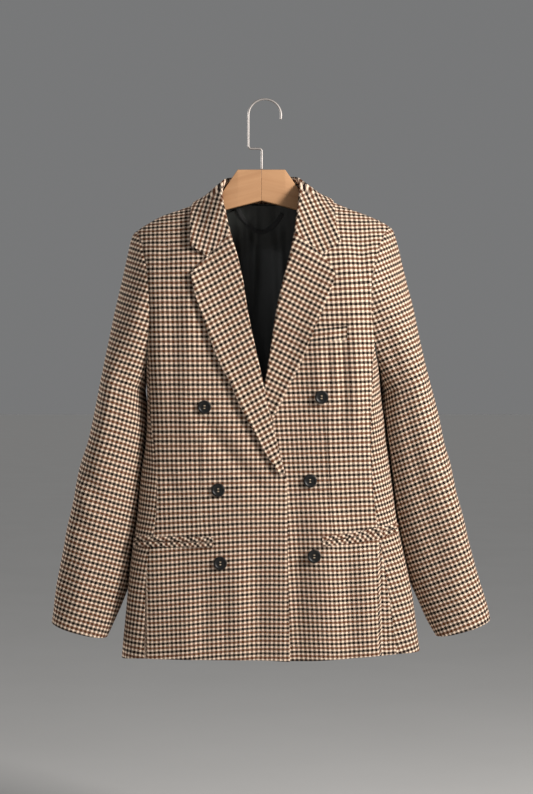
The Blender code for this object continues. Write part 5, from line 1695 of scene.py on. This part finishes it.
def hanger_half(side):
    """One half of the wooden hanger, with rounded edges."""
    sign = SIDES[side]
    out = np.unique(np.concatenate([[SEAM_GAP / 2, 0.25, 0.45, 1.0], np.linspace(2, 36.8, 24),
                                    np.linspace(36.8, 58.4, 14),
                                    np.linspace(58.4, HANGER_REACH, 70)]))
    rings = []
    for distance in out:
        x = HANGER_CENTRE_X + sign * distance
        top, bottom, deep, roof = (np.interp(distance, HANGER["out"], HANGER[name])
                                   for name in ("top", "bottom", "half_depth", "roof"))
        flush = rounded(distance - SEAM_GAP / 2, 0.3)
        near_end = rounded(HANGER_REACH - distance, 4.0)
        flat = deep - flush - 0.6 * near_end - HANGER_ROUND
        y = np.linspace(-flat, flat, 9)
        plain = top * (1 - roof) + under_cloth(x, y) * roof - flush - near_end
        low = bottom + flush + near_end + HANGER_ROUND
        ring = [places(x, y, plain)]
        for at_y, at_z, first in ((flat, plain[-1] - HANGER_ROUND, 18), (flat, low, 90),
                                  (-flat, low, 198), (-flat, plain[0] - HANGER_ROUND, 270)):
            turn = np.radians(first + np.arange(0, 90, 18))
            ring.append(places(x, at_y + HANGER_ROUND * np.sin(turn),
                               at_z + HANGER_ROUND * np.cos(turn)))
        rings.append(np.concatenate(ring))
    x, y, z = np.moveaxis(np.array(rings), -1, 0)
    lean = GRAIN_SLOPE[side]
    maps = places(slanted(x, z, -lean) + sign * 40.0, slanted(z, x, lean) + 0.8 * y)
    piece = new_object(f"wood_hanger_{side}_half", rings, tube_faces(*x.shape, flipped=sign > 0),
                       ["beech"], maps=maps, sharp=40)
    stand_in(piece, f"hanger_{side}_half")


HOOK_SIDES = 20


def arc(centre, radius, first, last, steps):
    """Points along a bend of the wire, as x and z, between two angles in degrees."""
    turn = np.radians(np.linspace(first, last, steps + 1))
    return centre + radius * places(np.cos(turn), np.sin(turn))


def hook():
    """The hook: a wire bend, a straight leg, a jog to the middle and a short shank."""
    corner = HOOK_CORNER_RADIUS
    leg_x = HOOK_BEND_X - HOOK_BEND_RADIUS
    end_z = HANGER_TOP_Z + SEAM_GAP + HOOK_WIRE_RADIUS
    flat = np.concatenate([
        arc((HOOK_BEND_X, HOOK_WIRE_RADIUS - HOOK_BEND_RADIUS), HOOK_BEND_RADIUS, -12, 180, 72),
        places(leg_x, np.linspace(-26, -68, 9)),
        arc((leg_x + corner, HOOK_JOG_Z + corner), corner, 180, 270, 12),
        places(np.linspace(leg_x + corner + 1, HOOK_SHANK_X - corner - 1, 5), HOOK_JOG_Z),
        arc((HOOK_SHANK_X - corner, HOOK_JOG_Z - corner), corner, 90, 0, 12),
        places(HOOK_SHANK_X, (-84.0, -92.0, -100.0, end_z)),
    ])
    path = places(flat[:, 0], 0.0, flat[:, 1])
    way = unit(np.gradient(path, axis=0))
    deep = np.array([0.0, 1.0, 0.0])
    side = np.cross(way, deep)
    bows = np.sin(np.radians(np.linspace(0, 80, 6)))[1:]
    wide = np.sqrt(1 - bows**2)
    head = path[0] - way[0] * HOOK_WIRE_RADIUS * bows[::-1, None]
    tail = path[-1] + way[-1] * HOOK_WIRE_RADIUS * bows[:, None]
    radius = HOOK_WIRE_RADIUS * np.concatenate([wide[::-1], np.ones(len(path)), wide])
    side = np.concatenate([side[:1].repeat(len(bows), 0), side, side[-1:].repeat(len(bows), 0)])
    path = np.concatenate([head, path, tail])
    cosine, sine = circle(HOOK_SIDES).T[..., None]
    points = path[:, None] + radius[:, None, None] * (cosine * side[:, None] + sine * deep)
    turn = np.linspace(0, 2 * np.pi, HOOK_SIDES, endpoint=False)
    maps = places(reach(path)[:, None], turn * HOOK_WIRE_RADIUS)
    piece = new_object("steel_hanger_hook", points,
                       tube_faces(len(path), HOOK_SIDES, flipped=True), ["hook_steel"],
                       maps=maps, sharp=60)
    stand_in(piece, "hanger_hook")


# ---------------------------------------------------------------- the whole model

for wearer_side in SIDES:
    hanger_half(wearer_side)
    front_panel(wearer_side)
    side_panel(wearer_side)
    back_panel(wearer_side)
    sleeve(wearer_side)
    lapel(wearer_side)
collar()
breast_welt()
hip_pockets()
buttons()
back_lining()
neck_tape()
hook()

# ---------------------------------------------------------------- floor, light and camera


def floor():
    """A plain pale floor, well below the hem."""
    rings = np.array([20.0, 1000.0, 4000.0, 16000.0, 80000.0])[:, None]
    x, y = circle(96).T
    piece = new_object("floor", places(rings * x, rings * y, -1250.0),
                       tube_faces(len(rings), 96, flipped=True)[:2], ["pale_floor"])


def light(kind, name, place, target, strength, size, colour):
    """A soft light that shines from a place to a target: a distant sun, or a square near by."""
    data = bpy.data.lights.new(name, kind)
    data.energy = strength
    data.color = colour
    if kind == "SUN":
        data.angle = math.radians(size)
    else:
        data.size = size
    lamp = bpy.data.objects.new(name, data)
    lamp.location = place
    lamp.rotation_euler = (Vector(target) - Vector(place)).to_track_quat("-Z", "Y").to_euler()
    bpy.context.scene.collection.objects.link(lamp)


floor()
light("AREA", "key", (1.5, -1.2, 0.25), (0, 0, -0.43), 66.0, 0.5, (1.0, 0.965, 0.93))
light("SUN", "fill", (-0.35, -0.9, 0.25), (0, 0, 0), 0.36, 40.0, (0.95, 0.97, 1.0))
light("SUN", "back", (-1.0, 0.6, 0.2), (0, 0, 0), 2.1, 10.0, (1.0, 0.98, 0.96))

world = bpy.data.worlds.new("studio")
world.use_nodes = True
world.node_tree.nodes["Background"].inputs[0].default_value = (0.98, 0.99, 1.0, 1)
world.node_tree.nodes["Background"].inputs[1].default_value = 0.19
bpy.context.scene.world = world
bpy.context.scene.view_settings.view_transform = "Standard"

lens = bpy.data.cameras.new("camera")
lens.lens = 81.9
lens.sensor_width = 36.0
lens.clip_end = 100.0
camera = bpy.data.objects.new("camera", lens)
camera.location = (0.0039, -2.8, -0.460)
camera.rotation_euler = (math.radians(90), 0, 0)
bpy.context.scene.collection.objects.link(camera)
bpy.context.scene.camera = camera
